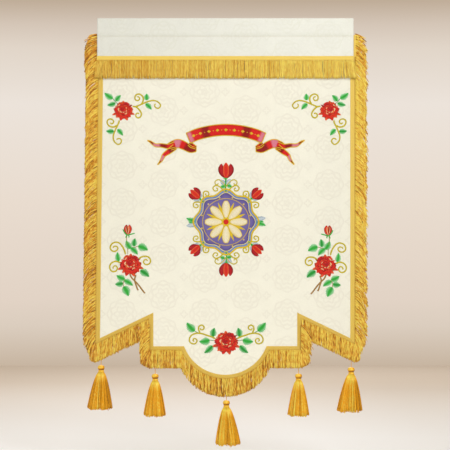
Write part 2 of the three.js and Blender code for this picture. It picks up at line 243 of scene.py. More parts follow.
def cords(paths, radius, tone, upright=(0.0, 1.0, 0.0)):
    # four-sided threads along many paths at once: point = path + r(cos a * B + sin a * N),
    # where B is the tangent crossed with a fixed direction and N is B crossed with the tangent
    paths = np.reshape(paths, (-1, *np.shape(paths)[-2:]))
    count, steps, _ = paths.shape
    tangent = np.gradient(paths, axis=1)
    tangent /= np.linalg.norm(tangent, axis=2, keepdims=True) + 1e-9
    across = np.cross(tangent, upright)
    across /= np.linalg.norm(across, axis=2, keepdims=True) + 1e-9
    ahead = np.cross(across, tangent)
    angle = np.pi / 4 + np.arange(4) * np.pi / 2
    radius = np.broadcast_to(radius, (count, steps))[:, :, None, None]
    ring = np.cos(angle)[:, None] * across[:, :, None] + np.sin(angle)[:, None] * ahead[:, :, None]
    last = (steps - 1) * 4
    caps = [[0, 1, 2, 3], [last + 3, last + 2, last + 1, last]]
    local = np.concatenate([gridFaces(steps, 4, True)[:, ::-1], caps])
    faces = (local + (np.arange(count) * steps * 4)[:, None, None]).reshape(-1, 4)
    stretches = np.linalg.norm(np.diff(paths, axis=1), axis=2)
    length = np.concatenate([np.zeros((count, 1)), np.cumsum(stretches, 1)], 1)[:, :, None]
    uv = np.stack(np.broadcast_arrays(angle / (2 * np.pi), length), -1)
    tone = np.asarray(tone, float)
    tone = np.broadcast_to((tone if tone.ndim == 2 else tone[:, None])[:, :, None], (count, steps, 4))
    return part(paths[:, :, None] + radius * ring, faces, uv, None, tone)


# The cloth's lie
cloth = {
    "top": -47.0, "tipZ": -920.0, "leftTop": -358.0, "leftTip": -368.0, "right": 367.0,
    "notchX": 215.0, "notchZ": -848.0, "tabZ": -935.0, "apronRadius": 136.0, "apronZ": -879.5,
    "thick": 2.0, "sideTape": 16.0, "lowTape": 13.0,
}


def hang(x, z):
    # long waves that grow downwards, and points that turn a little forwards and backwards
    growth = 2.6 * smooth(-z, 110, 700)
    waves = 0.6 * np.sin(2 * np.pi * x / 430 + 0.6) + 0.4 * np.sin(2 * np.pi * x / 270 + 2.1)
    return growth * waves + 3 * smooth(-z, 780, 940) * np.sin(np.pi * x / 733)


def lie(x, z):
    # hang plus the soft unevenness of cloth that was folded for carrying: 0.1 to 0.4 mm waves, 70 to 190 mm long
    x, z = np.asarray(x, float), np.asarray(z, float)
    fine = 0.3 * np.sin(x / 19 + z / 55 + 0.4) * np.sin(z / 47 - x / 120)
    fine += 0.22 * np.sin(x / 29 - z / 26 + 1.7) + 0.12 * np.sin(x / 11.5 + z / 17)
    return hang(x, z) + fine * smooth(-z, 60, 160)


def frontOf(x, z, proud=0.0):
    # the face of the panel's cloth, moved towards the eye
    return lie(x, z) - cloth["thick"] / 2 - proud


def edgeX(side, z):
    t = (cloth["top"] - np.asarray(z, float)) / (cloth["top"] - cloth["tipZ"])
    return mix(cloth["leftTop"], cloth["leftTip"], t) if side < 0 else np.full_like(t, cloth["right"])


def lowerEdge(x):
    # the cut edge: slopes outside the notches, tabs, and a round apron in the middle
    out = np.abs(np.asarray(x, float))
    share = (out - cloth["notchX"]) / (cloth["right"] - cloth["notchX"])
    apron = cloth["apronZ"] - np.sqrt(np.maximum(cloth["apronRadius"] ** 2 - out ** 2, 0))
    slope = mix(cloth["notchZ"], cloth["tipZ"], share)
    return np.where(out > cloth["notchX"], slope, np.minimum(cloth["tabZ"], apron))


# Materials
def damaskMaterial(name, bright, shade, rough, leftEnd, paintedShadeEdges=1.0, foot=1.0):
    # Woven cotton-viscose damask: the eye sees cream with round lobed medallions that differ only in sheen,
    # because the figure floats its threads one way and the ground the other
    material, tree, surface = newMaterial(
        name, Roughness=rough, IOR=1.5, Sheen_Weight=0.12, Sheen_Roughness=0.4, Specular_IOR_Level=0.35)
    calc = calculator(tree)
    place = addNode(tree, "ShaderNodeTexCoord").outputs["Object"]
    axes = addNode(tree, "ShaderNodeSeparateXYZ", n0=place).outputs
    pitchX, pitchZ = 0.116, 0.104
    column = calc("DIVIDE", calc("ADD", axes["X"], 10 * pitchX), pitchX)
    halfDrop = calc("MULTIPLY", calc("MODULO", calc("FLOOR", column), 2.0), 0.5)
    row = calc("ADD", calc("DIVIDE", calc("ADD", axes["Z"], 20 * pitchZ), pitchZ), halfDrop)
    # millimetres from the middle of a medallion's cell, and from where four medallions meet
    u = calc("MULTIPLY", calc("SUBTRACT", calc("FRACT", column), 0.5), pitchX * 1000)
    v = calc("MULTIPLY", calc("SUBTRACT", calc("FRACT", row), 0.5), pitchZ * 1000)
    besideU = calc("SUBTRACT", calc("ABSOLUTE", u), pitchX * 500)
    besideV = calc("MINIMUM", calc("ABSOLUTE", v), calc("SUBTRACT", pitchZ * 500, calc("ABSOLUTE", v)))
    # lobed rings at a distance r and an angle a, softened at the rim. Columns: radius, width, lobes, depth
    medallions = [(40.0, 1.6, 8, 0.05), (31.0, 2.6, 8, -0.09), (19.0, 2.2, 6, 0.16), (6.0, 4.2, 5, 0.3)]
    figure = 0.0
    for across, up, rings in ((u, v, medallions), (besideU, besideV, [(7.5, 2.0, 4, 0.3)])):
        r = calc("SQRT", calc("ADD", calc("MULTIPLY", across, across), calc("MULTIPLY", up, up)))
        a = calc("ARCTAN2", up, across)
        for radius, width, lobes, depth in rings:
            wave = calc("MULTIPLY", calc("COSINE", calc("MULTIPLY", a, float(lobes))), depth)
            away = calc("ABSOLUTE", calc("SUBTRACT", r, calc("MULTIPLY", calc("ADD", wave, 1.0), radius)))
            figure = calc("MAXIMUM", figure, ranged(tree, away, width, width + 1.6, 1.0, 0.0, "SMOOTHSTEP"))
    cloudy = noise(tree, place, 26.0, 4.0, 0.6)
    worn = calc("MULTIPLY", figure, ranged(tree, cloudy, 0.35, 0.65, 0.35, 1.0))
    colour = blended(tree, worn, linear(bright), linear(shade))
    # shades over one another: a cloudy random tone, painted shade at the left end and along both edges, the foot and
    # the yarn's slubs
    for value, low, high, start, end in (
        (cloudy, 0.3, 0.7, 0.962, 1.0),
        (axes["X"], -0.36, 0.12, leftEnd, 1.0),
        (calc("ABSOLUTE", axes["X"]), 0.36, 0.2, paintedShadeEdges, 1.0),
        (axes["Z"], -0.92, -0.62, foot, 1.0),
        (noise(tree, place, 240.0, 2.0), 0.3, 0.7, 0.972, 1.005),
    ):
        colour = scaled(tree, colour, ranged(tree, value, low, high, start, end))
    tree.links.new(calc("SUBTRACT", rough, calc("MULTIPLY", worn, 0.12)), surface.inputs["Roughness"])
    # satin threads lie 0.45 mm apart, drawn at 0.9 mm so that they show from near by
    threads = [calc("SINE", calc("MULTIPLY", axes[axis], 2000 * math.pi / 0.9)) for axis in ("X", "Z")]
    weave = calc("MULTIPLY", calc("MULTIPLY", *threads), 0.06)
    dress(tree, surface, colour, calc("ADD", weave, calc("MULTIPLY", worn, 0.12)), 0.5, 0.001)
    return material


def goldThread(name, stops, rough, twist, spread, glints):
    # Rayon cord in metal gold: glossy filaments twisted into a cord, so the eye sees warm yellow with orange
    # shade between the strands and small bright glints, painted highlights set into the colour
    material, tree, surface = newMaterial(
        name, Roughness=rough, IOR=1.5, Sheen_Weight=0.06, Sheen_Roughness=0.35, Metallic=0.1, Specular_IOR_Level=0.42)
    calc = calculator(tree)
    tone = attribute(tree, "tone", "Fac")
    _, around, down = threadsOf(tree)
    # painted glints: the colour brightens and dims along a strand over about 12 mm, in a different place on each
    spot = addNode(tree, "ShaderNodeCombineXYZ", n0=calc("MULTIPLY", tone, 173.0), n1=calc("MULTIPLY", down, 0.08))
    paintedGlintNoise = noise(tree, spot.outputs[0], 1.0, 1.5, dimensions="2D")
    lit = calc("ADD", tone, ranged(tree, paintedGlintNoise, 0.32, 0.68, -glints, glints))
    phase = calc("ADD", calc("DIVIDE", down, twist), calc("MULTIPLY", around, spread))
    wave = calc("SINE", calc("MULTIPLY", phase, 2 * math.pi))
    dress(tree, surface, colourRamp(tree, lit, stops), wave, 0.6, 0.0004)
    return material


def silkThread(name, rough):
    # Rayon embroidery floss in satin stitch: close parallel glossy threads, each patch shining along its own way
    material, tree, surface = newMaterial(
        name, Roughness=rough, IOR=1.5, Sheen_Weight=0.04, Sheen_Roughness=0.3, Specular_IOR_Level=0.25, Anisotropic=0.5)
    calc = calculator(tree)
    uv, across, _ = threadsOf(tree)
    # stitches lie 0.7 mm apart along u, drawn a little coarser than the real 0.4 mm
    wave = calc("SINE", calc("MULTIPLY", across, 2 * math.pi / 0.7))
    mottled = noise(tree, uv, 0.6, 3.0, dimensions="2D")
    colour = scaled(tree, attribute(tree, "threadColour", "Color"), ranged(tree, wave, -1.0, 1.0, 0.9, 1.06))
    colour = scaled(tree, colour, ranged(tree, mottled, 0.3, 0.7, 0.88, 1.1))
    dress(tree, surface, colour, wave, 0.5, 0.0003)
    return material


def braidMaterial():
    # Woven gold braid: flat rayon weave with a raised cord along each border, so the eye sees a pale yellow band
    material, tree, surface = newMaterial("goldBraid", Roughness=0.42, IOR=1.5, Sheen_Weight=0.2, Metallic=0.05)
    calc = calculator(tree)
    _, u, v = threadsOf(tree)
    # diagonal basket weave, one plait every 3 mm, seen as small lozenges
    diagonals = [calc("SINE", calc("MULTIPLY", calc(way, u, v), 2 * math.pi / 3)) for way in ("ADD", "SUBTRACT")]
    plait = calc("MULTIPLY", calc("ADD", calc("MULTIPLY", *diagonals), 1.0), 0.5)
    shade = calc("ADD", calc("MULTIPLY", plait, 0.45), calc("MULTIPLY", attribute(tree, "tone", "Fac"), 0.55))
    dress(tree, surface, colourRamp(tree, shade, [(0.0, "#BE8E20"), (1.0, "#FFE569")]), plait, 0.5, 0.0006)
    return material


# the last numbers give painted shade along the panel's edges and at the sleeve's left end, and a lighter foot on the
# panel
panelDamask = damaskMaterial("creamDamask", "#F6F7E7", "#EEEEDE", 0.62, 1.0, 0.955, 1.05)
sleeveDamask = damaskMaterial("paleDamask", "#EEF2E8", "#EAEEE2", 0.64, 0.885)
cordStops = [(0.0, "#8E5008"), (0.45, "#E0981F"), (0.65, "#EEBC40"), (1.0, "#FFE460")]
topStops = [(0.0, "#8E5808"), (0.45, "#D69C2A"), (0.65, "#E6BC48"), (1.0, "#FBE468")]
tasselStops = [(0.0, "#8C4E04"), (0.5, "#E8A70E"), (0.78, "#FFB81A"), (1.0, "#FFEA5C")]
fringeCord = goldThread("goldRayonCord", cordStops, 0.36, 3.2, 1.0, 0.3)
topCord = goldThread("evenGoldRayonCord", topStops, 0.36, 3.2, 1.0, 0.13)
tasselSilk = goldThread("goldSilkFloss", tasselStops, 0.26, 60.0, 0.0, 0.1)
braid = braidMaterial()
floss = silkThread("embroideryFloss", 0.42)
print("materials made")


# The panel
panelSizes = {"waist": -780.0, "outer": 20, "middle": 55, "upperRows": 92, "waistRows": 9, "lowRows": 22}


def panelPatch(xOf, zOf, columns, rows):
    # a grid over the cloth: t runs across and s runs down, at the cloth's lie
    t, s = np.meshgrid(np.linspace(0, 1, columns), np.linspace(0, 1, rows), indexing="xy")
    z = zOf(t, s)
    x = xOf(t, z)
    return part(np.stack([x, lie(x, z), z], -1), gridFaces(rows, columns)[:, ::-1])


def buildPanel():
    # zones that share their borders: above the waist, down to the notch, and the middle below the notch
    outer, middle, upperRows, waistRows, lowRows = list(panelSizes.values())[1:]
    notchX, notchZ, waist, top = cloth["notchX"], cloth["notchZ"], panelSizes["waist"], cloth["top"]
    upper = lambda t, s: mix(top, waist, s)
    parts = []
    for side in (-1, 1):
        xOf = lambda t, z: mix(side * notchX, edgeX(side, z), t if side > 0 else 1 - t)
        across = lambda t: mix(notchX, cloth["right"], t if side > 0 else 1 - t)
        lower = lambda t, s: mix(waist, lowerEdge(across(t) + 1e-6), s)
        parts += [panelPatch(xOf, upper, outer, upperRows), panelPatch(xOf, lower, outer, waistRows)]
    xMiddle = lambda t, z: mix(-notchX, notchX, t)
    below = lambda t, s: mix(notchZ, lowerEdge(mix(-notchX, notchX, t) * 0.99999), s)
    parts.append(panelPatch(xMiddle, upper, middle, upperRows))
    parts.append(panelPatch(xMiddle, lambda t, s: mix(waist, notchZ, s), middle, waistRows))
    parts.append(panelPatch(xMiddle, below, middle, lowRows))
    return parts


def weld(piece, distance=0.00002):
    # joins the zones' shared borders
    work = bmesh.new()
    work.from_mesh(piece.data)
    bmesh.ops.remove_doubles(work, verts=work.verts, dist=distance)
    work.to_mesh(piece.data)
    work.free()


def thicken(piece, thick):
    wall = piece.modifiers.new("thickness", "SOLIDIFY")
    wall.thickness = thick / 1000
    wall.offset = 0
    wall.use_even_offset = True


panel = makePiece("panelCloth", buildPanel(), [panelDamask], "damask", "panel")
weld(panel)
thicken(panel, cloth["thick"])
print("panel made")


# The pole sleeve
sleeveSizes = {"half": 360.0, "thick": 1.2, "leaf": 2.1, "foot": -114.0, "backFoot": -64.0, "pocket": 4.8, "gap": 0.5}
# a tape's ribs are place across it, width and height over 0.5 mm
tapeSizes = {"thick": 1.2, "points": 11, "step": 3.0, "ribs": [(0.1, 0.07, 1), (0.9, 0.07, 1), (0.5, 0.08, 0.5)]}


def sleeveFront(x):
    # how far the front leaf's middle stands ahead: further near the sides, over the side tape
    return sleeveSizes["leaf"] + (tapeSizes["thick"] + sleeveSizes["gap"]) * smooth(np.abs(x), 328, 343)


def buildSleeve():
    # one strip: up the front leaf, half round the pole pocket's top and down the back leaf
    x = np.linspace(-sleeveSizes["half"], sleeveSizes["half"], 181)
    front, pocket, leaf = sleeveFront(x), sleeveSizes["pocket"], sleeveSizes["leaf"]
    swell = 0.5 * np.sin(x / 95) - 0.2
    foldZ = -sleeveSizes["thick"] / 2 - pocket
    corners = [(-front, sleeveSizes["foot"]), (-front, -84), (-front, -52)]
    corners += [(-pocket - swell, -41), (-pocket - swell, -22)]
    corners += [(pocket * np.cos(a), foldZ + pocket * np.sin(a)) for a in np.pi - np.pi * np.arange(9) / 8]
    corners += [(pocket, -22), (pocket, -38), (leaf, -53), (leaf, sleeveSizes["backFoot"])]
    y, z = [np.stack([np.broadcast_to(corner[axis], x.shape) for corner in corners], 1) for axis in (0, 1)]
    # resampled evenly by the middle section's length, then eased over its corners
    length = lengthAlong(np.stack([y, z], -1)[len(x) // 2])
    index = np.interp(np.linspace(0, length[-1], 126), length, np.arange(len(length)))
    low = np.minimum(index.astype(int), len(length) - 2)
    y, z = [mix(value[:, low], value[:, low + 1], index - low) for value in (y, z)]
    for _ in range(3):
        for value in (y, z):
            value[:, 1:-1] = 0.25 * value[:, :-2] + 0.5 * value[:, 1:-1] + 0.25 * value[:, 2:]
    x = np.broadcast_to(x[:, None], y.shape)
    # soft creases across the pocket and a faint pressed line just under the top fold
    ripple = 0.25 * np.sin(x / 37 + z / 14) * np.sin(z / 19 + x / 210) + 0.12 * np.sin(x / 16 - z / 9)
    line = 0.3 * np.exp(-((z + 13 + 0.004 * x) / 2.2) ** 2) * smooth(x, -190, -90)
    groove = 0.55 * np.exp(-((z + 51.5) / 1.6) ** 2) + 0.9 * smooth(-z, 46, 51) * smooth(z, -62, -52)
    y = y + smooth(-y, 0.5, 2.0) * (ripple * smooth(-z, 6, 16) + line + groove * 0.6)
    return part(np.stack([x, y, z], -1), gridFaces(*x.shape))


sleeve = makePiece("sleeveCloth", [buildSleeve()], [sleeveDamask], "sleeve_cloth", "sleeve")
thicken(sleeve, sleeveSizes["thick"])
print("sleeve made")


# Tapes
def movedIn(points, width):
    # the chain moved to its left by a width, with mitred corners
    way = np.diff(points, axis=0)
    way /= np.linalg.norm(way, axis=1, keepdims=True)
    normal = np.stack([-way[:, 1], way[:, 0]], 1)
    before = np.concatenate([normal[:1], normal])
    middle = before + np.concatenate([normal, normal[-1:]])
    middle /= np.linalg.norm(middle, axis=1, keepdims=True)
    return points + middle * (width[:, None] / np.sum(middle * before, 1, keepdims=True))


def tape(outer, inner, backAt, brightness=0.0):
    # both chains cut into equal shares of each length, so that their corners stay paired
    counts = np.maximum(1, np.round(np.linalg.norm(np.diff(outer, axis=0), axis=1) / tapeSizes["step"])).astype(int)
    index = np.concatenate([[0.0]] + [i + np.arange(1, n + 1) / n for i, n in enumerate(counts)])
    low = np.minimum(index.astype(int), len(outer) - 2)
    outer, inner = [mix(chain[low], chain[low + 1], (index - low)[:, None]) for chain in (outer, inner)]
    # a ribbed section carried along them. It rises 0.5 mm over two border cords and 0.25 mm over a middle one
    v = np.linspace(0, 1, tapeSizes["points"])
    x, z = [mix(outer[:, None, axis], inner[:, None, axis], v) for axis in (0, 1)]
    ribs = sum(high * np.exp(-((v - at) / wide) ** 2) for at, wide, high in tapeSizes["ribs"])
    thick = (tapeSizes["thick"] * 0.72 + 0.5 * ribs) * np.sqrt(np.clip(1 - (2 * v - 1) ** 10, 0, 1))
    back = backAt(x, z) - 0.05
    loop = np.concatenate([np.stack([x, back - thick, z], -1), np.stack([x, back, z], -1)[:, ::-1]], 1)
    width = np.linalg.norm(outer - inner, axis=1)[:, None]
    uv = np.stack(np.broadcast_arrays(lengthAlong((outer + inner) / 2)[:, None], np.append(v, v[::-1]) * width), -1)
    # painted highlight: the raised ribs of the front face are lighter, the back face not
    tone = np.broadcast_to(brightness + 0.35 + np.append(0.4 * ribs, 0 * ribs), uv.shape[:2])
    return part(loop, gridFaces(*loop.shape[:2], True)[:, ::-1], uv, None, tone, 1)


# Fringe strands
strandSizes = {"radius": 1.15, "pitch": 2.1, "steps": 9}
# Columns: lean, how far it stands forward, lift, spread of tone, thickness, curl, how much neighbours clump
strandLooks = {
    "top": (0.8, 1.3, 0.9, 0.09, 1.3, 0.6, 0.4),
    "side": (2.2, 0.8, 0.62, 0.3, 1.1, 1.1, 0.5),
    "fan": (1.5, 0.7, 0.8, 0.2, 1.0, 0.35, 0.7),
    "lowerBack": (4.6, 0.9, 0.92, 0.24, 1.6, 1.3, 0.3),
    "lower": (4.6, 0.9, 0.92, 0.24, 1.15, 1.3, 0.3),
    "tab": (2.6, 0.5, 0.6, 0.24, 1.1, 1.2, 0.4),
}


def clumped(position, seed, scale):
    # neighbours lean together: the sum of a few sines of the place along the edge, with seeded phases
    rng = np.random.default_rng(seed)
    total = np.zeros_like(position)
    for wave in (9.0, 14.0, 23.0, 41.0):
        total += np.sin(2 * np.pi * position / (wave * scale) + rng.uniform(0, 2 * np.pi)) * rng.uniform(0.6, 1.0)
    return total / 2.4


def strands(x, z, y, reach, drop, position, seed, toneWithPaintedLight, look):
    # each strand: x = x0 + reach(1.3t - 0.3t^2) + lean t^1.6, z = z0 - drop(lift t + (1 - lift)t^2), y eases forwards
    lean, forward, lift, spread, thick, curly, clump = strandLooks[look]
    rng = np.random.default_rng(seed)
    count = len(x)
    x, y, z, reach, drop = [np.broadcast_to(value, count)[:, None] for value in (x, y, z, reach, drop)]
    t = np.linspace(0, 1, strandSizes["steps"])[None]
    sway = (clump * clumped(position, seed, 1.0) * lean + rng.normal(0, 0.5 * lean, count))[:, None]
    length = drop * (1 + 0.02 * clumped(position, seed + 1, 0.8) + rng.normal(0, 0.014, count))[:, None]
    curl = rng.normal(0, curly, count)[:, None] * np.sin(np.pi * t * rng.uniform(0.8, 1.6, count)[:, None])
    path = np.stack([
        x + reach * (1.3 * t - 0.3 * t ** 2) + sway * t ** 1.6 + curl,
        y - (forward + 0.5 * rng.random(count))[:, None] * np.sin(np.pi * t * 0.6) + 0.3 * curl,
        z - length * (lift * t + (1 - lift) * t ** 2),
    ], -1)
    tone = 0.5 + toneWithPaintedLight + 0.06 * clumped(position, seed + 2, 0.6) + rng.normal(0, spread, count)
    size = thick * strandSizes["radius"] * rng.uniform(0.88, 1.12, count)[:, None]
    return cords(path, size * np.where(t > 0.99, 0.7, 1.0), np.clip(tone, 0.14, 1))


def evenly(start, end, pitch, seed):
    # places along a line with a little seeded scatter
    count = max(2, int(round(abs(end - start) / pitch)))
    places = start + (end - start) * (np.arange(count) + 0.5) / count
    return places + np.random.default_rng(seed).normal(0, 0.25, count)


topFringe = {"tapeTop": -107.0, "tapeFoot": -121.0, "drop": 49.0, "half": 360.5}


def leafFace(x, z):
    # the front of the sleeve's front leaf
    return -sleeveFront(x) - sleeveSizes["thick"] / 2 - 0.25 + 0 * z


def buildTopFringe():
    half, foot = topFringe["half"], topFringe["tapeFoot"]
    xs = np.array([-half, -343, -328, 328, 343, half])
    outer, inner = [np.stack([xs, np.full(6, level)], 1) for level in (foot, topFringe["tapeTop"])]
    parts = [tape(outer, inner, leafFace, 0.44)]
    for layer, (seed, back) in enumerate(((11, 0.5), (12, 1.6))):
        x = evenly(-half + 0.5, half - 0.5, strandSizes["pitch"], seed)
        splay = np.sign(x) * smooth(np.abs(x), 316, 358)
        drop = topFringe["drop"] + 2.5 - 7 * (np.random.default_rng(seed + 3).random(len(x)) > 0.955)
        # painted light: the strands grow lighter towards the right, and painted shade makes the layer behind a little
        # darker
        toneWithPaintedLight = 0.1 + 0.05 * layer + 0.2 * smooth(x, -380, 380)
        parts.append(strands(x, foot + 2.5, leafFace(x, 0) - back, 9.0 * splay, drop, x, seed, toneWithPaintedLight, "top"))
    return parts


def outerChain(side):
    top, foot = cloth["top"] - 1.0, cloth["tipZ"]
    return np.array([[float(edgeX(side, top)), top], [float(edgeX(side, foot)), foot]])


def edgeChain():
    # the whole edge from the upper left, round the lower edge, to the upper right, and its inner line
    rim = math.acos((cloth["tabZ"] - cloth["apronZ"]) / -cloth["apronRadius"])
    angle = -np.pi / 2 + np.linspace(-rim, rim, 41)
    arc = np.stack([np.cos(angle), np.sin(angle)], 1) * cloth["apronRadius"] + [0, cloth["apronZ"]]
    notchX, notchZ, tabZ = cloth["notchX"], cloth["notchZ"], cloth["tabZ"]
    left, right = outerChain(-1), outerChain(1)[::-1]
    chain = np.concatenate([left, [[-notchX, notchZ], [-notchX, tabZ]], arc, [[notchX, tabZ], [notchX, notchZ]], right])
    width = np.full(len(chain), cloth["lowTape"])
    width[[0, -1]] = cloth["sideTape"]
    inner = movedIn(chain, width)
    # the points join a wide side tape to a narrow lower one
    inner[1, 0] = chain[1, 0] + cloth["sideTape"]
    inner[-2, 0] = chain[-2, 0] - cloth["sideTape"]
    return chain, inner


wholeChain, wholeInner = edgeChain()
# a fan round a corner is its reach, its count of strands and the angle of its first one
sideFringe = {"reach": {-1: 32.0, 1: 28.0}, "drop": 38.0, "top": -43.5, "fan": (12.0, 20, 76.0)}
lowerFringe = {"drop": 50.0, "tabDrop": 38.0, "fan": (30, 58.0)}


def tapeBack(x, z):
    return frontOf(x, z, 0.2)


def fan(side, x, z, reach, count, first, back, seed):
    # the strands round a corner, turned step by step from outwards to straight down
    turn = np.radians(mix(first, 92.0, (np.arange(count) + 0.5) / count))
    long = mix(math.hypot(reach, 40.0), lowerFringe["drop"], smooth(turn, 0.8, 1.5))
    x0, z0 = np.full(count, x - side * 3.0), z + 4.0
    across, down = side * long * np.cos(turn), long * np.sin(turn)
    # painted light: the right side's fans are lighter than the left's
    toneWithPaintedLight = 0.08 + 0.07 * side
    return strands(x0, z0, tapeBack(x0, z0) - back, across, down, np.arange(count) * 2.0, seed, toneWithPaintedLight, "fan")


def buildSideFringe(side):
    ends = slice(0, 2) if side < 0 else slice(-2, None)
    # painted light: the right tape is lighter than the left
    parts = [tape(wholeChain[ends], wholeInner[ends], tapeBack, 0.1 + 0.1 * side)]
    top, tip = sideFringe["top"], cloth["tipZ"]
    for layer, (seed, back) in enumerate(((21 + side, 0.4), (31 + side, 1.9), (41 + side, 3.0))):
        z = evenly(top, tip + 4, strandSizes["pitch"], seed)
        rng = np.random.default_rng(seed)
        x = edgeX(side, z) - side * 2.5
        # the left fringe stands out widest beside the sleeve
        full = sideFringe["reach"][side] + (2.5 - 2.5 * side) * smooth(-z, 130, 95)
        reach = mix(0.72 * full, full, smooth(-z, 44, 70)) + rng.normal(0, 1.5, len(z)) + clumped(z, seed + 5, 0.9)
        reach = np.where((z < -51) & (z > -54), full + 1.0, reach)
        reach = reach * mix(1.0, 0.34, smooth(-z, -tip - 62, -tip - 2))
        # the first strands stand out more, and the last ones hang more steeply
        drop = mix(10.0, sideFringe["drop"], smooth(-z, -top, 95)) + 6 * smooth(-z, 840, 915)
        # along the edge the strands hang steeper in some places and flatter in others
        drop += 8.0 * clumped(z, 90 + side, 4.0) * smooth(-z, 60, 110) * smooth(-z, 900, 850)
        drop += rng.normal(0, 3.0, len(z)) + 2.0 * clumped(z, seed + 6, 0.7)
        # beside the sleeve the strands start behind its front leaf
        y = tapeBack(x, z) - back * mix(1.0, -0.4, smooth(z, -114, -102))
        # painted light: the right fringe is lighter than the left; painted shade darkens the layers further back; the
        # strands also grow lighter upwards
        toneWithPaintedLight = 0.1 * (layer - 1) + 0.13 * side + 0.13 + 0.08 * smooth(z, -750, -200)
        parts.append(strands(x, z, y, side * (reach + 2.5), drop, z, seed, toneWithPaintedLight, "side"))
        parts.append(fan(side, float(edgeX(side, tip)), tip, *sideFringe["fan"], back, seed + 50))
    return parts


def buildLowerFringe():
    parts = [tape(wholeChain[1:-1], wholeInner[1:-1], tapeBack)]
    for layer, (seed, back) in enumerate(((54, -0.4), (51, 0.6), (52, 1.7), (53, 2.9))):
        x = evenly(cloth["leftTip"] + 1, cloth["right"] - 1, strandSizes["pitch"] * 0.95, seed)
        z = lowerEdge(x)
        # painted shade darkens the layers further back, and painted light grows towards the right
        toneWithPaintedLight = 0.1 * (layer - 2) + 0.14 + 0.1 * smooth(x, -60, 320)
        y, drop = tapeBack(x, z) - back, lowerFringe["drop"] + 1.0
        parts.append(strands(x, z + 2.5, y, 0.0, drop, x, seed, toneWithPaintedLight, "lowerBack" if layer == 0 else "lower"))
    # the tabs' upright sides: strands droop outwards over the slope's own
    for side in (-1, 1):
        for layer, (seed, back) in enumerate(((61 + side, 3.2), (71 + side, 4.4), (81 + side, 5.4))):
            z = evenly(cloth["notchZ"] - 12, cloth["tabZ"] + 1, strandSizes["pitch"] * 0.8, seed)
            x = np.full_like(z, side * (cloth["notchX"] - 2.5))
            scatter = np.random.default_rng(seed).normal(0, 1.6, len(z))
            reach = side * (mix(27.0, 23.0 - 2 * side, smooth(-z, 885, 935)) + scatter)
            # painted shade darkens the layers further back, and a little painted light falls on the right tab
            toneWithPaintedLight = 0.08 * (layer - 1) + 0.16 + 0.03 * side
            y = tapeBack(x, z) - back
            parts.append(strands(x, z, y, reach, lowerFringe["tabDrop"], z, seed, toneWithPaintedLight, "tab"))
            corner = (side * cloth["notchX"], cloth["tabZ"], 20.0 - side)
            parts.append(fan(side, *corner, *lowerFringe["fan"], back, seed + 50))
    return parts


for name, parts, cord in (
    ("OverSleeve", buildTopFringe(), topCord), ("Left", buildSideFringe(-1), fringeCord),
    ("Right", buildSideFringe(1), fringeCord), ("Lower", buildLowerFringe(), fringeCord),
):
    replaced = "fringe_top" if name == "OverSleeve" else "fringe_" + name.lower()
    makePiece("fringe" + name, parts, [cord, braid], "gold_fringe", replaced)
print("fringes made")


# Tassels. Columns: place, x, top, height, width, swing, tone. The tone is painted light: the same floss made lighter or
# darker on each tassel as the light falls on it
tassels = [
    ("left_tip", -349.0, -975.0, 123.0, 67.0, -3.5, 0.45),
    ("left_tab", -197.0, -999.0, 118.0, 58.0, -1.5, 0.62),
    ("apron", 3.0, -1074.0, 125.0, 67.0, 4.5, 0.66),
    ("right_tab", 206.0, -999.0, 118.0, 57.0, -0.5, 0.69),
    ("right_tip", 354.0, -981.0, 124.0, 68.0, -4.5, 0.58),
]
tasselSizes = {
    "headHigh": 15.5, "headRadius": 9.6, "neck": 7.2, "flat": 0.78, "strands": 96, "rings": 3, "cord": 1.1,
    "hold": 16.0, "headSides": 40, "coreSides": 84, "spread": 0.52,
    "binding": 0.75, "bindingOut": 0.4, "ply": 0.62, "plyOut": 0.55, "lay": 4.5,
}


def turnedForm(radii, heights, sides, middle, ridge, ridges):
    # a profile of radii and heights turned about an upright axis, with upright ridges
    angle = np.linspace(0, 2 * np.pi, sides, endpoint=False)
    radius = radii[:, None] * (1 + ridge * np.cos(angle * ridges))
    points = np.stack(np.broadcast_arrays(radius * np.cos(angle), radius * np.sin(angle), heights[:, None]), -1)
    return points + middle, np.stack(np.broadcast_arrays(angle * 9, heights[:, None]), -1)


def turnedPart(points, uv, tone):
    # the turned form with both its ends closed
    rows, sides = points.shape[:2]
    faces = gridFaces(rows, sides, True)[:, ::-1]
    tone = np.append(np.broadcast_to(tone, (rows, sides)).ravel(), [np.mean(tone)] * 2)
    points, faces, uv = withPole(points.reshape(-1, 3), faces, uv.reshape(-1, 2), 0, sides, False)
    return part(*withPole(points, faces, uv, rows - 1, sides, True), None, tone)


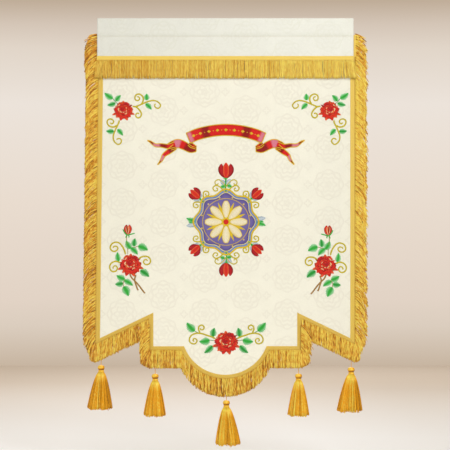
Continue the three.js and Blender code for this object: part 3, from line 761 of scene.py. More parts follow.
def buildTassel(x0, top, height, width, swing, brightness, seed):
    rng = np.random.default_rng(seed)
    high, neck, sides = tasselSizes["headHigh"], tasselSizes["neck"], tasselSizes["headSides"]
    edge = float(lowerEdge(x0))
    y0 = float(hang(x0, edge + 8)) + cloth["thick"] / 2 + 0.5 + tasselSizes["cord"]
    middle = np.array([x0, y0, top])
    # the head: a wound button, drawn in at the neck. Its tone has a painted highlight on its left and painted shade to
    # the right and over its lower half down to the neck
    t = np.linspace(0, 1, 15)
    radii = tasselSizes["headRadius"] * np.sqrt(np.clip(1 - (2 * t - 1) ** 2, 0.0004, 1)) ** 0.8
    radii = np.where(t > 0.6, np.maximum(radii, neck * 0.98), radii)
    around = np.linspace(0, 2 * np.pi, sides, endpoint=False)
    tone = 0.69 + 0.12 * np.cos(np.arange(sides) * np.pi) + 0.26 * np.cos(around - 4.1)
    tone = np.clip(tone - 0.8 * smooth(t, 0.42, 0.8)[:, None], 0, 1)
    parts = [turnedPart(*turnedForm(radii, -high * t, sides, middle, 0.035, 20), tone)]
    # the binding: five and a half turns of thread round the neck
    turns = np.linspace(0, 5.5 * 2 * np.pi, 150)
    out = neck + tasselSizes["bindingOut"]
    wind = np.stack([out * np.cos(turns), out * np.sin(turns), 1.5 - high - 5.0 * turns / turns[-1]], 1)
    parts.append(cords(middle + wind, tasselSizes["binding"], [0.85], (0.0, 0.0, 1.0)))
    # the cord, a two-ply twist from the cloth's edge to the head
    rise = np.linspace(0, 1, 60)
    hold = edge + tasselSizes["hold"]
    out = tasselSizes["plyOut"]
    for ply in (0, np.pi):
        twist = 2 * np.pi * rise * (hold - top) / tasselSizes["lay"] + ply
        cord = np.stack([x0 + out * np.cos(twist), y0 + out * np.sin(twist), mix(top - 1.5, hold, rise)], 1)
        parts.append(cords(cord, tasselSizes["ply"], [0.45]))
    # the skirt: rings of floss from the neck, r = r0 + (R - r0) swell(t), over a ribbed core that stops the light
    start, drop, outer = top - high - 2.5, height - high - 2.5, width * tasselSizes["spread"]
    swell = lambda t: t ** 0.68
    core = np.linspace(0, 1, 14)
    radii = mix(neck * 0.9, outer * 0.86, swell(core))
    points, uv = turnedForm(radii, start - top - drop * core * 0.965, tasselSizes["coreSides"], middle, 0.03, 21)
    points[..., 1] = y0 + (points[..., 1] - y0) * mix(1.0, tasselSizes["flat"], core)[:, None]
    points[..., 0] += swing * core[:, None]
    # the core's dark tone is painted shade, the shadow inside the skirt seen between the strands
    parts.append(turnedPart(points, uv, 0.2))
    t = np.linspace(0, 1, 10)[None]
    flat = mix(1.0, tasselSizes["flat"], t)
    count = tasselSizes["strands"]
    for ring in range(tasselSizes["rings"]):
        angle = 2 * np.pi * (np.arange(count) + 0.33 * ring) / count + rng.normal(0, 0.03, count)
        locks = 0.012 * np.sin(angle * 6 + rng.uniform(0, 6)) + 0.018 * np.sin(angle * 13 + rng.uniform(0, 6))
        size = outer * (1 - 0.05 * ring) * (1 + locks)
        r = mix(neck * (0.95 - 0.08 * ring), size[:, None], swell(t))
        angles = angle[:, None] + rng.normal(0, 0.8, count)[:, None] * np.sin(np.pi * t) / np.maximum(r, 4)
        uneven = 0.014 * np.sin(angle * 5 + ring) + rng.normal(0, 0.012, count) - 0.035 * np.abs(np.cos(angle)) ** 5
        fall = drop * (1 + uneven)[:, None] * (t - 0.03 * np.sin(np.pi * t))
        path = np.stack([x0 + r * np.cos(angles) + swing * t, y0 + r * np.sin(angles) * flat, start - fall], -1)
        # painted light and shade round the skirt: a highlight to the front left and darker sides
        tone = brightness + 0.05 * np.sin(angle * 6 + 1.3) + 0.2 * np.cos(angle - 4.3)
        tone = tone - 0.12 * np.abs(np.cos(angle)) ** 3 + rng.normal(0, 0.17, count)
        # a painted highlight over the shoulder, and painted light that lifts the skirt a little towards its foot
        tone = tone[:, None] + 0.5 * np.exp(-((t - 0.08) / 0.16) ** 2) - 0.09 + 0.1 * t
        thick = mix(0.6, 1.3, t) * rng.uniform(0.9, 1.1, count)[:, None]
        parts.append(cords(path, thick, np.clip(tone, 0, 1)))
    return parts


for number, (place, *values) in enumerate(tassels):
    name = "tassel" + "".join(word.capitalize() for word in place.split("_"))
    makePiece(name, buildTassel(*values, 200 + number), [tasselSilk], "gold_tassel", "tassel_" + place)
print("tassels made")


# Embroidery
def spline(points, count):
    # Catmull-Rom curve through the points, sampled evenly in its parameter
    p = np.asarray(points, float)
    p = np.concatenate([2 * p[:1] - p[1:2], p, 2 * p[-1:] - p[-2:-1]])
    s = np.linspace(0, len(p) - 3 - 1e-9, count)
    i = s.astype(int)
    t = (s - i)[:, None]
    a, b, c, d = p[i], p[i + 1], p[i + 2], p[i + 3]
    return 0.5 * (2 * b + (c - a) * t + (2 * a - 5 * b + 4 * c - d) * t ** 2 + (3 * b - a - 3 * c + d) * t ** 3)


def satin(spine, widths, base, rim, height, level, across, slant, rimShare, ridge=0.0, fray=0.0, seed=0):
    # a raised patch: the spine widened by its half widths to s = -1..1, standing height * sqrt(1 - s^2) off the cloth.
    # Its colour runs from base in the middle to rim at the edge, and its stitches lean by slant
    spine = np.asarray(spine, float)
    rows = len(spine)
    widths = np.broadcast_to(widths, rows).astype(float)[:, None]
    normal = normalsOf(spine)
    s = np.linspace(-1, 1, across)
    reach = widths * s * (1 + fray * np.random.default_rng(seed).uniform(-1, 1, (rows, 1)))
    x, z = [spine[:, axis, None] + normal[:, axis, None] * reach for axis in (0, 1)]
    lift = height * np.sqrt(np.clip(1 - s ** 2, 0, 1)) * np.minimum(1, widths / 1.2) + 0.06
    y = frontOf(x, z, level) - lift + ridge * np.exp(-(s / 0.14) ** 2)
    points = np.stack([x, y, z], -1)
    uv = np.stack([lengthAlong(spine)[:, None] + slant * np.abs(reach), reach], -1)
    blend = smooth(np.abs(s), 1 - rimShare * 1.6, 1 - rimShare * 0.3)[:, None]
    base, rim = [np.asarray(colour, float).reshape(-1, 1, 3) for colour in (base, rim)]
    colour = np.broadcast_to(base * (1 - blend) + rim * blend, (rows, across, 3))
    # the rim turns down to the cloth on all four sides
    points, uv, colour = [np.pad(values, ((1, 1), (1, 1), (0, 0)), "edge") for values in (points, uv, colour)]
    edge = np.pad(np.zeros((rows, across), bool), 1, constant_values=True)
    points[edge, 1] = frontOf(points[edge, 0], points[edge, 2], -0.12)
    return part(points, gridFaces(rows + 2, across + 2)[:, ::-1], uv, colour.reshape(-1, 3))


def colours(*codes):
    return [np.array(linear(code)) for code in codes]


leafGreen, leafEdge, leafDeep = colours("#30B63C", "#9ADFA4", "#1FA036")
scrollGold, scrollDeep = colours("#D2C41A", "#A89812")
stemBrown, stemDeep, stemGreen = colours("#AD8442", "#8C6432", "#4FA06A")
red, dark, orange, pale, crimson = colours("#E0281A", "#8E1010", "#F06A34", "#F5DDA8", "#BE1822")
ribbonRed, ribbonDark, ribbonPink, ribbonGold = colours("#E21C1A", "#98100F", "#E4859A", "#F0C62E")


def leaf(base, tip, width, deep, seed):
    # a rose leaf: the half width is 0.56 w sin(pi t^0.72)^0.8 with small saw teeth, parted by a midrib
    t = np.linspace(0, 1, 25)
    way = tip - base
    side = np.array([-way[1], way[0]])
    spine = base + way * t[:, None] + side * (0.06 * np.sin(np.pi * t))[:, None]
    teeth = 1 + 0.24 * (np.arange(25) % 3 == 0)
    half = np.maximum(0.56 * width * np.sin(np.pi * t ** 0.72) ** 0.8 * teeth, 0.05)
    return satin(spine, half, leafDeep if deep else leafGreen, leafEdge, 0.65, 0.0, 9, 0.9, 0.5, 0.35, 0.07, seed)


def scroll(points, width=4.5, count=None, taper=True, colour=scrollGold, deep=scrollDeep, height=0.75):
    # a satin cord along a smooth curve, thinner towards its curled end
    curve = spline(points, count or max(24, 9 * len(points)))
    t = np.linspace(0, 1, len(curve))
    half = width / 2 * (1.0 - 0.22 * t * taper) * np.minimum(1, np.minimum(t, 1 - t) * 30 + 0.3)
    return satin(curve, half, colour, deep, height, 0.1, 6, 0.3, 0.25)


def petal(middle, radius, start, end, width, base, rim, level, frilled, seed, count=22):
    # a curved petal: an arc about the flower's middle whose width swells in the middle and whose rim is frilled
    t = np.linspace(0, 1, count)
    rng = np.random.default_rng(seed)
    angle = np.radians(mix(start, end, t))
    r = radius * (1 + frilled * 0.5 * np.sin(t * np.pi * 3 + rng.uniform(0, 6)))
    spine = np.stack([r * np.cos(angle), r * np.sin(angle)], 1) + middle
    half = width / 2 * np.sin(np.pi * mix(0.06, 0.94, t)) ** 0.55 * (1 + frilled * rng.uniform(-1, 1, count))
    return satin(spine, half, base, rim, 0.8, level, 7, 0.5, 0.4)


def wedge(angle, inner, outer, width, base, tip, level, seed):
    # a pointed petal end that stands out beyond the flower
    t = np.linspace(0, 1, 14)
    way = np.array([math.cos(math.radians(angle)), math.sin(math.radians(angle))])
    half = width / 2 * (1 - t ** 3) ** 0.75 + 0.05
    colour = mix(base, tip, (t ** 2)[:, None])
    return satin(way * mix(inner, outer, t)[:, None], half, colour, tip, 0.7, level, 7, 0.4, 0.3, 0, 0.06, seed)


# The rose's outer petal ends. Columns: angle, reach, width, base, tip
roseEnds = [
    (8, 0.92, 0.34, red, crimson), (38, 1.02, 0.2, crimson, dark), (66, 0.88, 0.46, red, crimson),
    (92, 0.98, 0.4, red, orange), (118, 0.92, 0.44, orange, red), (148, 0.9, 0.3, pale, orange),
    (172, 0.96, 0.26, crimson, red), (203, 1.15, 0.34, crimson, orange), (226, 1.0, 0.34, red, orange),
    (252, 1.06, 0.44, red, red), (288, 1.08, 0.42, red, orange), (318, 0.96, 0.36, orange, red),
    (340, 1.13, 0.34, crimson, orange),
]
# Its rounds. Columns: radius, thickness, level, rise of the round's middle, petals of start, end, base, rim
roseRounds = [
    (0.62, 0.44, 0.25, 0.0, [
        (-28, 38, red, orange), (30, 96, crimson, red), (88, 152, red, orange),
        (144, 212, red, crimson), (204, 272, red, orange), (262, 338, red, red),
    ]),
    (0.38, 0.34, 0.55, 0.08, [
        (10, 100, red, orange), (88, 175, red, crimson), (165, 250, orange, red),
        (238, 328, red, dark), (315, 380, red, orange),
    ]),
    (0.21, 0.26, 0.9, 0.16, [(40, 160, red, orange), (150, 270, crimson, red), (255, 400, red, orange)]),
    (0.07, 0.2, 1.2, 0.2, [(0, 200, red, dark), (190, 350, crimson, red)]),
]
# Pale glints where folded petals catch the light. Columns: angle, radius, length, width
roseGlints = [
    (152, 0.46, 40, 0.13), (196, 0.3, 46, 0.1), (20, 0.34, 30, 0.08), (286, 0.44, 34, 0.11),
    (252, 0.24, 44, 0.09), (118, 0.62, 24, 0.09), (320, 0.3, 36, 0.08),
]
# The bud's folded petals from back to front. Columns: shift, size, base, rim
budPetals = [
    (-0.2, 0.62, dark, red), (0.24, 0.6, red, dark), (0.05, 0.46, orange, pale), (-0.32, 0.3, red, dark),
    (0.36, 0.26, red, orange), (-0.1, 0.13, dark, dark), (0.16, 0.12, pale, orange), (-0.24, 0.1, pale, orange),
]


def rose(middle, width, high, seed):
    # an open rose from outside in: pointed outer petals, rounds of curved petals with dark creases, a folded heart
    rng = np.random.default_rng(seed)
    big = 0.52 * width
    parts = []
    for k, (angle, reach, wide, base, tip) in enumerate(roseEnds):
        angle = angle + rng.uniform(-4, 4)
        parts.append(wedge(angle, big * 0.3, big * reach, big * wide, base, tip, 0.05 + 0.06 * (k % 2), seed + k))
    for ring, (radius, thick, level, rise, petals) in enumerate(roseRounds):
        centre = np.array([0, big * rise])
        rim = big * (radius + thick * (0.3 if ring == 0 else 0.47))
        for k, (start, end, base, edge) in enumerate(petals):
            height, number = level + 0.08 * (k % 2), seed + 10 * ring + k
            parts.append(petal(centre, big * radius, start, end, big * thick, base, edge, height, 0.16, number))
            # the dark crease under each petal's outer rim, and where it slips below the next
            under = level + 0.15
            parts.append(petal(centre, rim, start + 6, end - 12, big * 0.055, dark, dark, under, 0.3, seed + 80 + k, 14))
            crease = math.radians(end - 6)
            radii = big * mix(radius - thick * 0.4, radius + thick * 0.4, np.linspace(0, 1, 7)[:, None])
            spine = np.array([math.cos(crease), math.sin(crease)]) * radii + centre
            parts.append(satin(spine, big * 0.028, dark, dark, 0.5, level + 0.25, 5, 0.6, 0.35))
    for k, (angle, radius, long, wide) in enumerate(roseGlints):
        centre, number = (0, big * 0.05), seed + 60 + k
        parts.append(petal(centre, big * radius, angle, angle + long, big * wide, pale, orange, 1.3, 0.1, number, 12))
    # every patch was made about zero: squat, it moves to its place and keeps how far it stands off the cloth
    return [moved(one, lambda x, z: (x + middle[0], z * high / width + middle[1])) for one in parts]


def moved(one, place, turned=False):
    points = one["points"]
    off = points[:, 1] - frontOf(points[:, 0], points[:, 2])
    x, z = place(points[:, 0], points[:, 2])
    faces = one["faces"][:, ::-1] if turned else one["faces"]
    return {**one, "points": np.stack([x, frontOf(x, z) + off, z], 1), "faces": faces}


def mirroredAbout(parts, axis):
    # the same patches on the other side of an upright axis, with their faces turned to keep facing out
    return [moved(one, lambda x, z: (2 * axis - x, z), True) for one in parts]


# Sprays. A rose's and a bud's middle, width and height are measured from the middle of the banner's top fold, x to
# the right and z up, and everything else from the rose's middle. A leaf is its base, tip and width, and a line in
# scrolls, stems, wood and sepals is x, z pairs. A stem has a width, a count of steps and a colour
cornerSpray = {
    "rose": ((-286.3, -259.9), 58.5, 54.0),
    "stem": (2.2, 20, stemGreen), "deepEvery": 3,
    "leaves": [
        (-29.3, 33.4, -53.1, 49.7, 14.6), (-21.4, 25.5, -6.8, 43, 12.4), (-22, 21.1, -45.8, 15.1, 11.8),
        (66.3, 28.6, 66.3, 47.5, 12.9), (62.1, 18.8, 79.2, 2.2, 12.1), (-26.5, -57.9, -48.9, -57.3, 12.4),
        (-17.2, -53.1, -1.4, -70.8, 11.5),
    ],
    "scrolls": [
        [25, 12.1, 34.5, 10.9, 45.5, 15.1, 57.8, 20.5, 72.5, 26.1, 85.7, 27.8, 96.6, 24.1, 103.9, 15.7, 101.7, 8.4,
         96.6, 5.9, 89.3, 9.5, 88.2, 15.7, 90.7, 18.8],
        [50.5, 18.2, 55.3, 26.7, 55.3, 36.5, 50.5, 43, 42.4, 46.1, 34.5, 42.4, 32.3, 35.1, 34.5, 29.8, 40.7, 27.8,
         45.5, 32.9, 43.2, 37.6, 38.2, 38.8],
        [34.5, 10.9, 43.2, 3.6, 49.1, -5.1, 50.5, -12.4, 46.9, -18.6, 40.7, -20.8, 35.1, -16.6, 35.9, -9.9, 40.7,
         -7.6, 44.4, -9.9],
        [-11.8, -27, -13, -34.3, -17.7, -44.1, -22.8, -55.1, -27, -66.1, -28.7, -75.6, -26.5, -85.4, -20.3, -92.8,
         -13, -95.3, -6.8, -90.2, -5.7, -84.3, -9.3, -79.3, -15.5, -79.3, -19.1, -82.4],
        [-19.1, -41.6, -23.9, -45.3, -32.4, -46.4, -41.1, -42.7, -45.8, -34.3, -43.9, -27, -36.6, -23.9, -29.3, -27,
         -27.6, -33.2, -32.4, -37.4, -37.4, -34.3],
    ],
    "stems": [
        [-29.3, 33.4, -22.5, 24.4, -10.4, 14.6],
    ],
}

sideSpray = {
    "rose": ((-266.1, -693.2), 66.0, 62.0),
    "bud": ((-274.0, -594.6), 23.5, 27.0),
    "stem": (2.2, 20, stemBrown), "deepEvery": 3,
    "leaves": [
        (0.8, 44.7, -12.7, 68.3, 14.6), (0, 48, 20.2, 28.1, 13.5), (10.1, 51.4, 12.9, 74.4, 14.1),
        (20.8, 52.2, 48.9, 40.4, 18), (-32.9, 9.2, -36.5, 35.7, 12.4), (26.7, -16, 52.3, -34.3, 16.9),
        (-15.7, -40.8, -39.9, -29.8, 15.2), (-18.6, -43.9, 6.5, -59, 13.8), (-20.8, -51.4, -43.8, -54.8, 14.6),
        (-20.2, -61, -6.2, -88.8, 18.5),
    ],
    "scrolls": [
        [-14.3, 28.6, -17.1, 39.3, -23, 50.8, -30.1, 59.5, -40.2, 63.2, -51.7, 59.5, -57.3, 49.4, -54.5, 41, -46.7,
         37.3, -38.8, 40.2, -35.7, 46.6, -40.2, 51.7, -47.2, 50.8, -49.5, 46.6],
        [-28.7, 4.2, -34.3, 7.8, -43, 9.2, -53.1, 5, -58.7, -3.7, -57.3, -13.5, -50, -19.4, -41.6, -18, -37.4, -10.7,
         -40.2, -4.2, -45.8, -3.7, -49.5, -8.5, -48.1, -11.5],
        [23, 15.1, 28.7, 20.8, 38.8, 23.6, 48.9, 22.2, 55.3, 15.1, 55.3, 6.4, 48.9, 0.8, 41.6, 0.8, 36.5, 6.4, 38.8,
         12.9, 44.4, 14.3, 48, 10.1],
    ],
    "stems": [
        [-10.1, 84, -11.5, 73.9, -10.1, 59.5, -8.4, 45.2, -7.9, 28.1],
        [0, 47.5, 10.1, 48.9, 20.8, 51.7],
        [-15.7, -40.8, -20.8, -51.7, -19.4, -61.6],
    ],
    "wood": [
        [-2.8, -24.5, 2.8, -36.6, 14.3, -48.1, 24.4, -59.6, 36, -75.3, 41, -80.4],
        [14.9, -28.1, 11.5, -42.2, 14.3, -53.7, 18.5, -66.6, 21.6, -72.2],
    ],
    "sepals": [
        [-8.4, 83.4, -14.3, 86.8, -19.1, 94.1, -21.4, 99.7],
        [-7.9, 83.4, 0, 85.4, 12.1, 88.5],
        [-9, 84.6, -12.4, 79.2, -13.5, 75.6],
        [-6.8, 84.6, -4.5, 80.1, -4.8, 76.1],
    ],
}

apronSpray = {
    "rose": ((3.1, -911.3), 72.0, 64.0),
    "stem": (2.0, 16, stemGreen), "deepEvery": 2,
    "leaves": [
        (-88.5, 31.5, -111.3, 55.9, 18), (-37.1, 15.5, -33.4, 41, 15.7), (-46.7, 6.5, -76.7, 2, 17.4),
        (-38.5, -9, -62.7, -30.1, 14.6),
    ],
    "scrolls": [
        [-29.8, 9.6, -41.6, 15.5, -54.8, 19.7, -68, 24.2, -82.6, 25.6, -95.8, 21.4, -103.1, 12.4, -103.1, 2.3, -95.8,
         -3.6, -87.1, -3.1, -82.6, 3.7, -85.7, 9.6, -91.6, 10.1, -93.6, 5.1, -89.9, 2.8],
        [-73.9, 27.3, -78.1, 36, -76.7, 44.7, -69.4, 48.3, -63, 43.3, -64.4, 36.8, -70.8, 35.1, -73.9, 39.6],
    ],
    "stems": [
        [-89.1, 31.8, -82.6, 28.4, -75.6, 25],
        [-47.2, 6.5, -40.5, 5.4, -32, 3.7],
    ],
}

def spray(table, seed):
    # thin stems below, then scrolls and leaves, then the bud on top. Its rose is made apart
    middle = np.array(table["rose"][0])
    stemWidth, steps, stemColour = table["stem"]
    parts = []
    for key, look in (
        ("stems", (stemWidth, steps, True, stemColour, stemGreen, 0.5)),
        ("wood", (4.2, 30, False, stemBrown, stemDeep, 0.8)),
        ("scrolls", ()),
        ("sepals", (4.0, 18, True, leafGreen, leafEdge, 0.7)),
    ):
        parts += [scroll(middle + np.reshape(line, (-1, 2)), *look) for line in table.get(key, ())]
    every = table["deepEvery"]
    for k, (*ends, width) in enumerate(table["leaves"]):
        parts.append(leaf(middle + ends[:2], middle + ends[2:], width, k % every == every - 1, seed + k))
    if "bud" in table:
        (x, z), width, high = table["bud"]
        t = np.linspace(0, 1, 18)
        for k, (shift, size, base, rim) in enumerate(budPetals):
            foot = np.array([x + 0.05 * width * shift, z - high / 2])
            top = np.array([x + shift * width * 0.8, z + high * (0.5 - 0.12 * (k > 1))])
            spine = mix(foot, top, t[:, None])
            spine[:, 0] += np.sin(np.pi * t) * shift * width * 0.35
            half = size * width / 2 * np.sin(np.pi * np.clip(t, 0.03, 0.97)) ** 0.6
            parts.append(satin(spine, half, base, rim, 0.8, 0.15 * k, 7, 0.4, 0.4, 0, 0.05, seed + 40 + k))
    return parts


def bothSides(parts, axis):
    return parts + mirroredAbout(parts, axis)


corners = bothSides(spray(cornerSpray, 400) + rose(*cornerSpray["rose"], 470), 3.4)
sides = spray(sideSpray, 500) + rose(*sideSpray["rose"], 570)
sidesRight = mirroredAbout(sides, 7.4)
for one in sidesRight:
    one["points"][:, 2] -= 2.2
apron = bothSides(spray(apronSpray, 300), 2.6) + rose(*apronSpray["rose"], 350)
makePiece("embroideredCorners", corners, [floss], "gold_fringe")
makePiece("embroideredSides", sides + sidesRight, [floss], "gold_fringe")
makePiece("embroideredApron", apron, [floss], "gold_fringe")
print("sprays made")

# The ribbon: an arched band whose ends fold behind and run out in two forked tails each
# Lozenges and seeds are half lengths and half widths; tones are a colour and the places where it starts and ends
ribbonSizes = {"halfWidth": 15.6, "edge": 2.4, "lozenge": (5.4, 4.4), "seed": (1.8, 1.6)}
ribbonBand = [
    (-104.0, -337.8), (-76.7, -326.5), (-37.4, -317.5), (2.0, -314.4), (41.3, -317.5), (80.6, -326.5), (107.9, -337.8),
]
bandTones = [
    (ribbonRed, 0), (ribbonPink, 0.02, 0.055), (ribbonRed, 0.09, 0.2), (ribbonDark, 0.235, 0.285), (ribbonRed, 0.32),
]
# Tails. Columns: points, half widths, tones by place, steps, level, whether its start is edged
ribbonTails = [
    (
        [(-81.8, -369.8), (-97.8, -368.7), (-116.1, -358.6), (-132.9, -352.9), (-148.4, -358.0), (-156.8, -362.5)],
        [6.0, 9.5, 11.5, 12.0, 11.5, 10.0],
        [
            (ribbonDark, 0, 0.34), (ribbonRed, 0.4, 0.5), (ribbonPink, 0.55, 0.68), (ribbonRed, 0.73),
            (ribbonDark, 0.82, 1),
        ], 60, 0.0, True,
    ),
    (
        [(-141.3, -355.7), (-161.0, -360.8), (-179.3, -358.0), (-196.1, -357.4), (-209.6, -348.4), (-218.9, -343.9)],
        [7.5, 6.2, 5.2, 4.2, 2.6, 0.6],
        [
            (ribbonRed, 0, 0.2), (ribbonDark, 0.26, 0.42), (ribbonPink, 0.48, 0.66), (ribbonDark, 0.72, 0.86),
            (ribbonRed, 0.9),
        ], 60, 0.1, False,
    ),
    (
        [(-141.3, -361.9), (-158.2, -375.1), (-172.3, -385.5), (-179.0, -399.0), (-190.0, -412.5)],
        [8.0, 7.0, 5.0, 3.6, 0.6],
        [(ribbonDark, 0, 0.22), (ribbonRed, 0.28, 0.5), (ribbonPink, 0.56, 0.76), (ribbonDark, 0.82)], 60, 0.1, False,
    ),
    (
        [(-102.0, -352.9), (-93.6, -358.6), (-82.3, -364.2)], [5.0, 6.5, 4.0],
        [(ribbonDark, 0, 0.5), (ribbonRed, 0.6), (ribbonDark, 1)], 16, 0.3, False,
    ),
]


def ribbonPart(points, halves, tones, count, level, startEdged, endEdged=False):
    # a band along a curve whose colour runs through the tones, edged with gold cord on both sides
    curve = spline(points, count)
    t = np.linspace(0, 1, count)
    half = np.interp(t, np.linspace(0, 1, len(halves)), halves)[:, None]
    places = [place for _, *ends in tones for place in ends]
    stops = np.array([tone for tone, *ends in tones for _ in ends])
    base = np.stack([np.interp(t, places, stops[:, c]) for c in range(3)], 1)
    parts = [satin(curve, half[:, 0], base, base * 0.85, 0.5, level, 13, 0.0, 0.2)]
    normal = normalsOf(curve) * half
    edges = [curve + normal, curve - normal]
    across = np.linspace(-1, 1, 9)[:, None]
    edges += [curve[end] + normal[end] * across for end, wanted in ((0, startEdged), (-1, endEdged)) if wanted]
    for edge in edges:
        parts.append(satin(edge, ribbonSizes["edge"] / 2, ribbonGold, scrollGold, 0.8, level + 0.35, 5, 0.3, 0.2))
    return parts


def buildRibbon():
    tails = [one for row in ribbonTails for one in ribbonPart(*row)]
    tones = bandTones + [(tone, *(1 - place for place in ends[::-1])) for tone, *ends in bandTones[::-1]]
    parts = bothSides(tails, 2.0) + ribbonPart(ribbonBand, [ribbonSizes["halfWidth"]], tones, 160, 0.6, True, True)
    # a plain row of gold lozenges and seeds along the band's middle
    middle = spline(ribbonBand, 400)
    t = np.linspace(-1, 1, 9)
    for k, share in enumerate(np.linspace(0.1, 0.9, 17)):
        at = int(share * 399)
        way = middle[at + 3] - middle[at - 3]
        long, wide = ribbonSizes["seed" if k % 2 else "lozenge"]
        spine = middle[at] + way / np.linalg.norm(way) * long * t[:, None]
        parts.append(satin(spine, wide * (1 - np.abs(t)) + 0.05, ribbonGold, scrollGold, 0.8, 1.2, 5, 0.3, 0.3))
    return parts


makePiece("embroideredRibbon", buildRibbon(), [floss], "gold_fringe")
print("ribbon made")

# The middle medallion: a generic rosette on a lobed field, with flowers, leaves and scrolls about it
medallion = {"middle": (2.0, -573.0), "field": 82.0, "lobes": 8, "depth": 0.07, "petal": 60.0}
fieldViolet, fieldDeep, fieldBlue = colours("#7A70B4", "#5C5298", "#7C98D4")
medalGold, medalPale, medalCream, silverLeaf, silverEdge = colours("#EBCB2C", "#FAEDB0", "#FBF3D2", "#CFDDE4", "#9FB6C8")
# Rays out of the field. Columns: angle, stalk, flower, how far the scrolls spread
rays = [(90, 44, 42, 1.15), (270, 36, 38, 1.15)] + [(angle, 20, 34, 0.9) for angle in (42, 138, 318, 222)]
# Scrolls beside a ray as points outwards from the field and sideways
shortScroll = [(2, 0), (9, 7), (18, 15), (22, 25), (15, 32), (7, 28), (8, 21), (14, 21), (14.5, 25)]
longScroll = [(18, 0), (30, 8), (38, 20), (34, 30), (26, 30), (24, 24), (29, 22)]
# Tulip petals. Columns: lean, length, width, base, rim
tulipPetals = [(-26, 0.92, 0.46, crimson, dark), (26, 0.92, 0.46, crimson, dark), (0, 1.0, 0.5, red, orange)]


def polarPatch(middle, radius, lobes, depth, base, rim, level, height, rings=12, spokes=144):
    # a filled round form: r = R (1 + depth cos(lobes a)), domed by height (1 - rho^4), colour from base to rim
    rho = np.linspace(0.02, 1, rings)[:, None]
    angle = np.linspace(0, 2 * np.pi, spokes, endpoint=False)
    r = rho * radius * (1 + depth * np.cos(lobes * angle))
    x, z = middle[0] + r * np.cos(angle), middle[1] + r * np.sin(angle)
    points = np.stack([x, frontOf(x, z, level) - 0.08 - height * (1 - rho ** 4), z], -1).reshape(-1, 3)
    uv = np.stack([z - middle[1], x - middle[0]], -1).reshape(-1, 2)
    colour = np.repeat(mix(base, rim, smooth(rho, 0.86, 0.98)), spokes, 0)
    faces = gridFaces(rings, spokes, True)[:, ::-1]
    return part(*withPole(points, faces, uv, 0, spokes, False), np.concatenate([colour, [base]]))


def ringCord(radius, lobes, depth, width, colour, level):
    angle = np.linspace(0, 2 * np.pi, 160)
    r = radius * (1 + depth * np.cos(lobes * angle))
    curve = np.stack([r * np.cos(angle), r * np.sin(angle)], 1) + medallion["middle"]
    return satin(curve, width / 2, colour, scrollGold, 0.9, level, 6, 0.3, 0.25)


def along(angle, points):
    # points given as (outwards, sideways) turned to stand at an angle about the medallion's middle
    a = math.radians(angle)
    turned = np.array([[math.cos(a), math.sin(a)], [-math.sin(a), math.cos(a)]])
    return np.asarray(points, float) @ turned + medallion["middle"]


def leafOn(angle, base, tip, width, seed, silver=False):
    one = leaf(along(angle, base), along(angle, tip), width, False, seed)
    if silver:
        share = np.clip((one["colour"][:, :1] - leafGreen[0]) / (leafEdge[0] - leafGreen[0]), 0, 1)
        one["colour"] = mix(silverLeaf, silverEdge, share)
    return one


def tulip(angle, start, size, seed):
    # a three-petalled flower that opens outwards
    parts = []
    t = np.linspace(0, 1, 20)
    for k, (lean, long, wide, base, rim) in enumerate(tulipPetals):
        spread = math.tan(math.radians(lean)) * size * long * (0.55 * np.sin(np.pi * t * 0.75) + 0.25 * t)
        spine = along(angle, np.stack([start + size * long * t, spread], 1))
        half = size * wide / 2 * np.sin(np.pi * mix(0.08, 0.98, t)) ** 0.75
        parts.append(satin(spine, half, base, rim, 0.8, 0.2 + 0.25 * (k == 2), 9, 0.6, 0.45, 0.2, 0.03, seed + k))
    parts.append(leafOn(angle, (start - 6, 0), (start + size * 0.34, 0), size * 0.3, seed))
    return parts


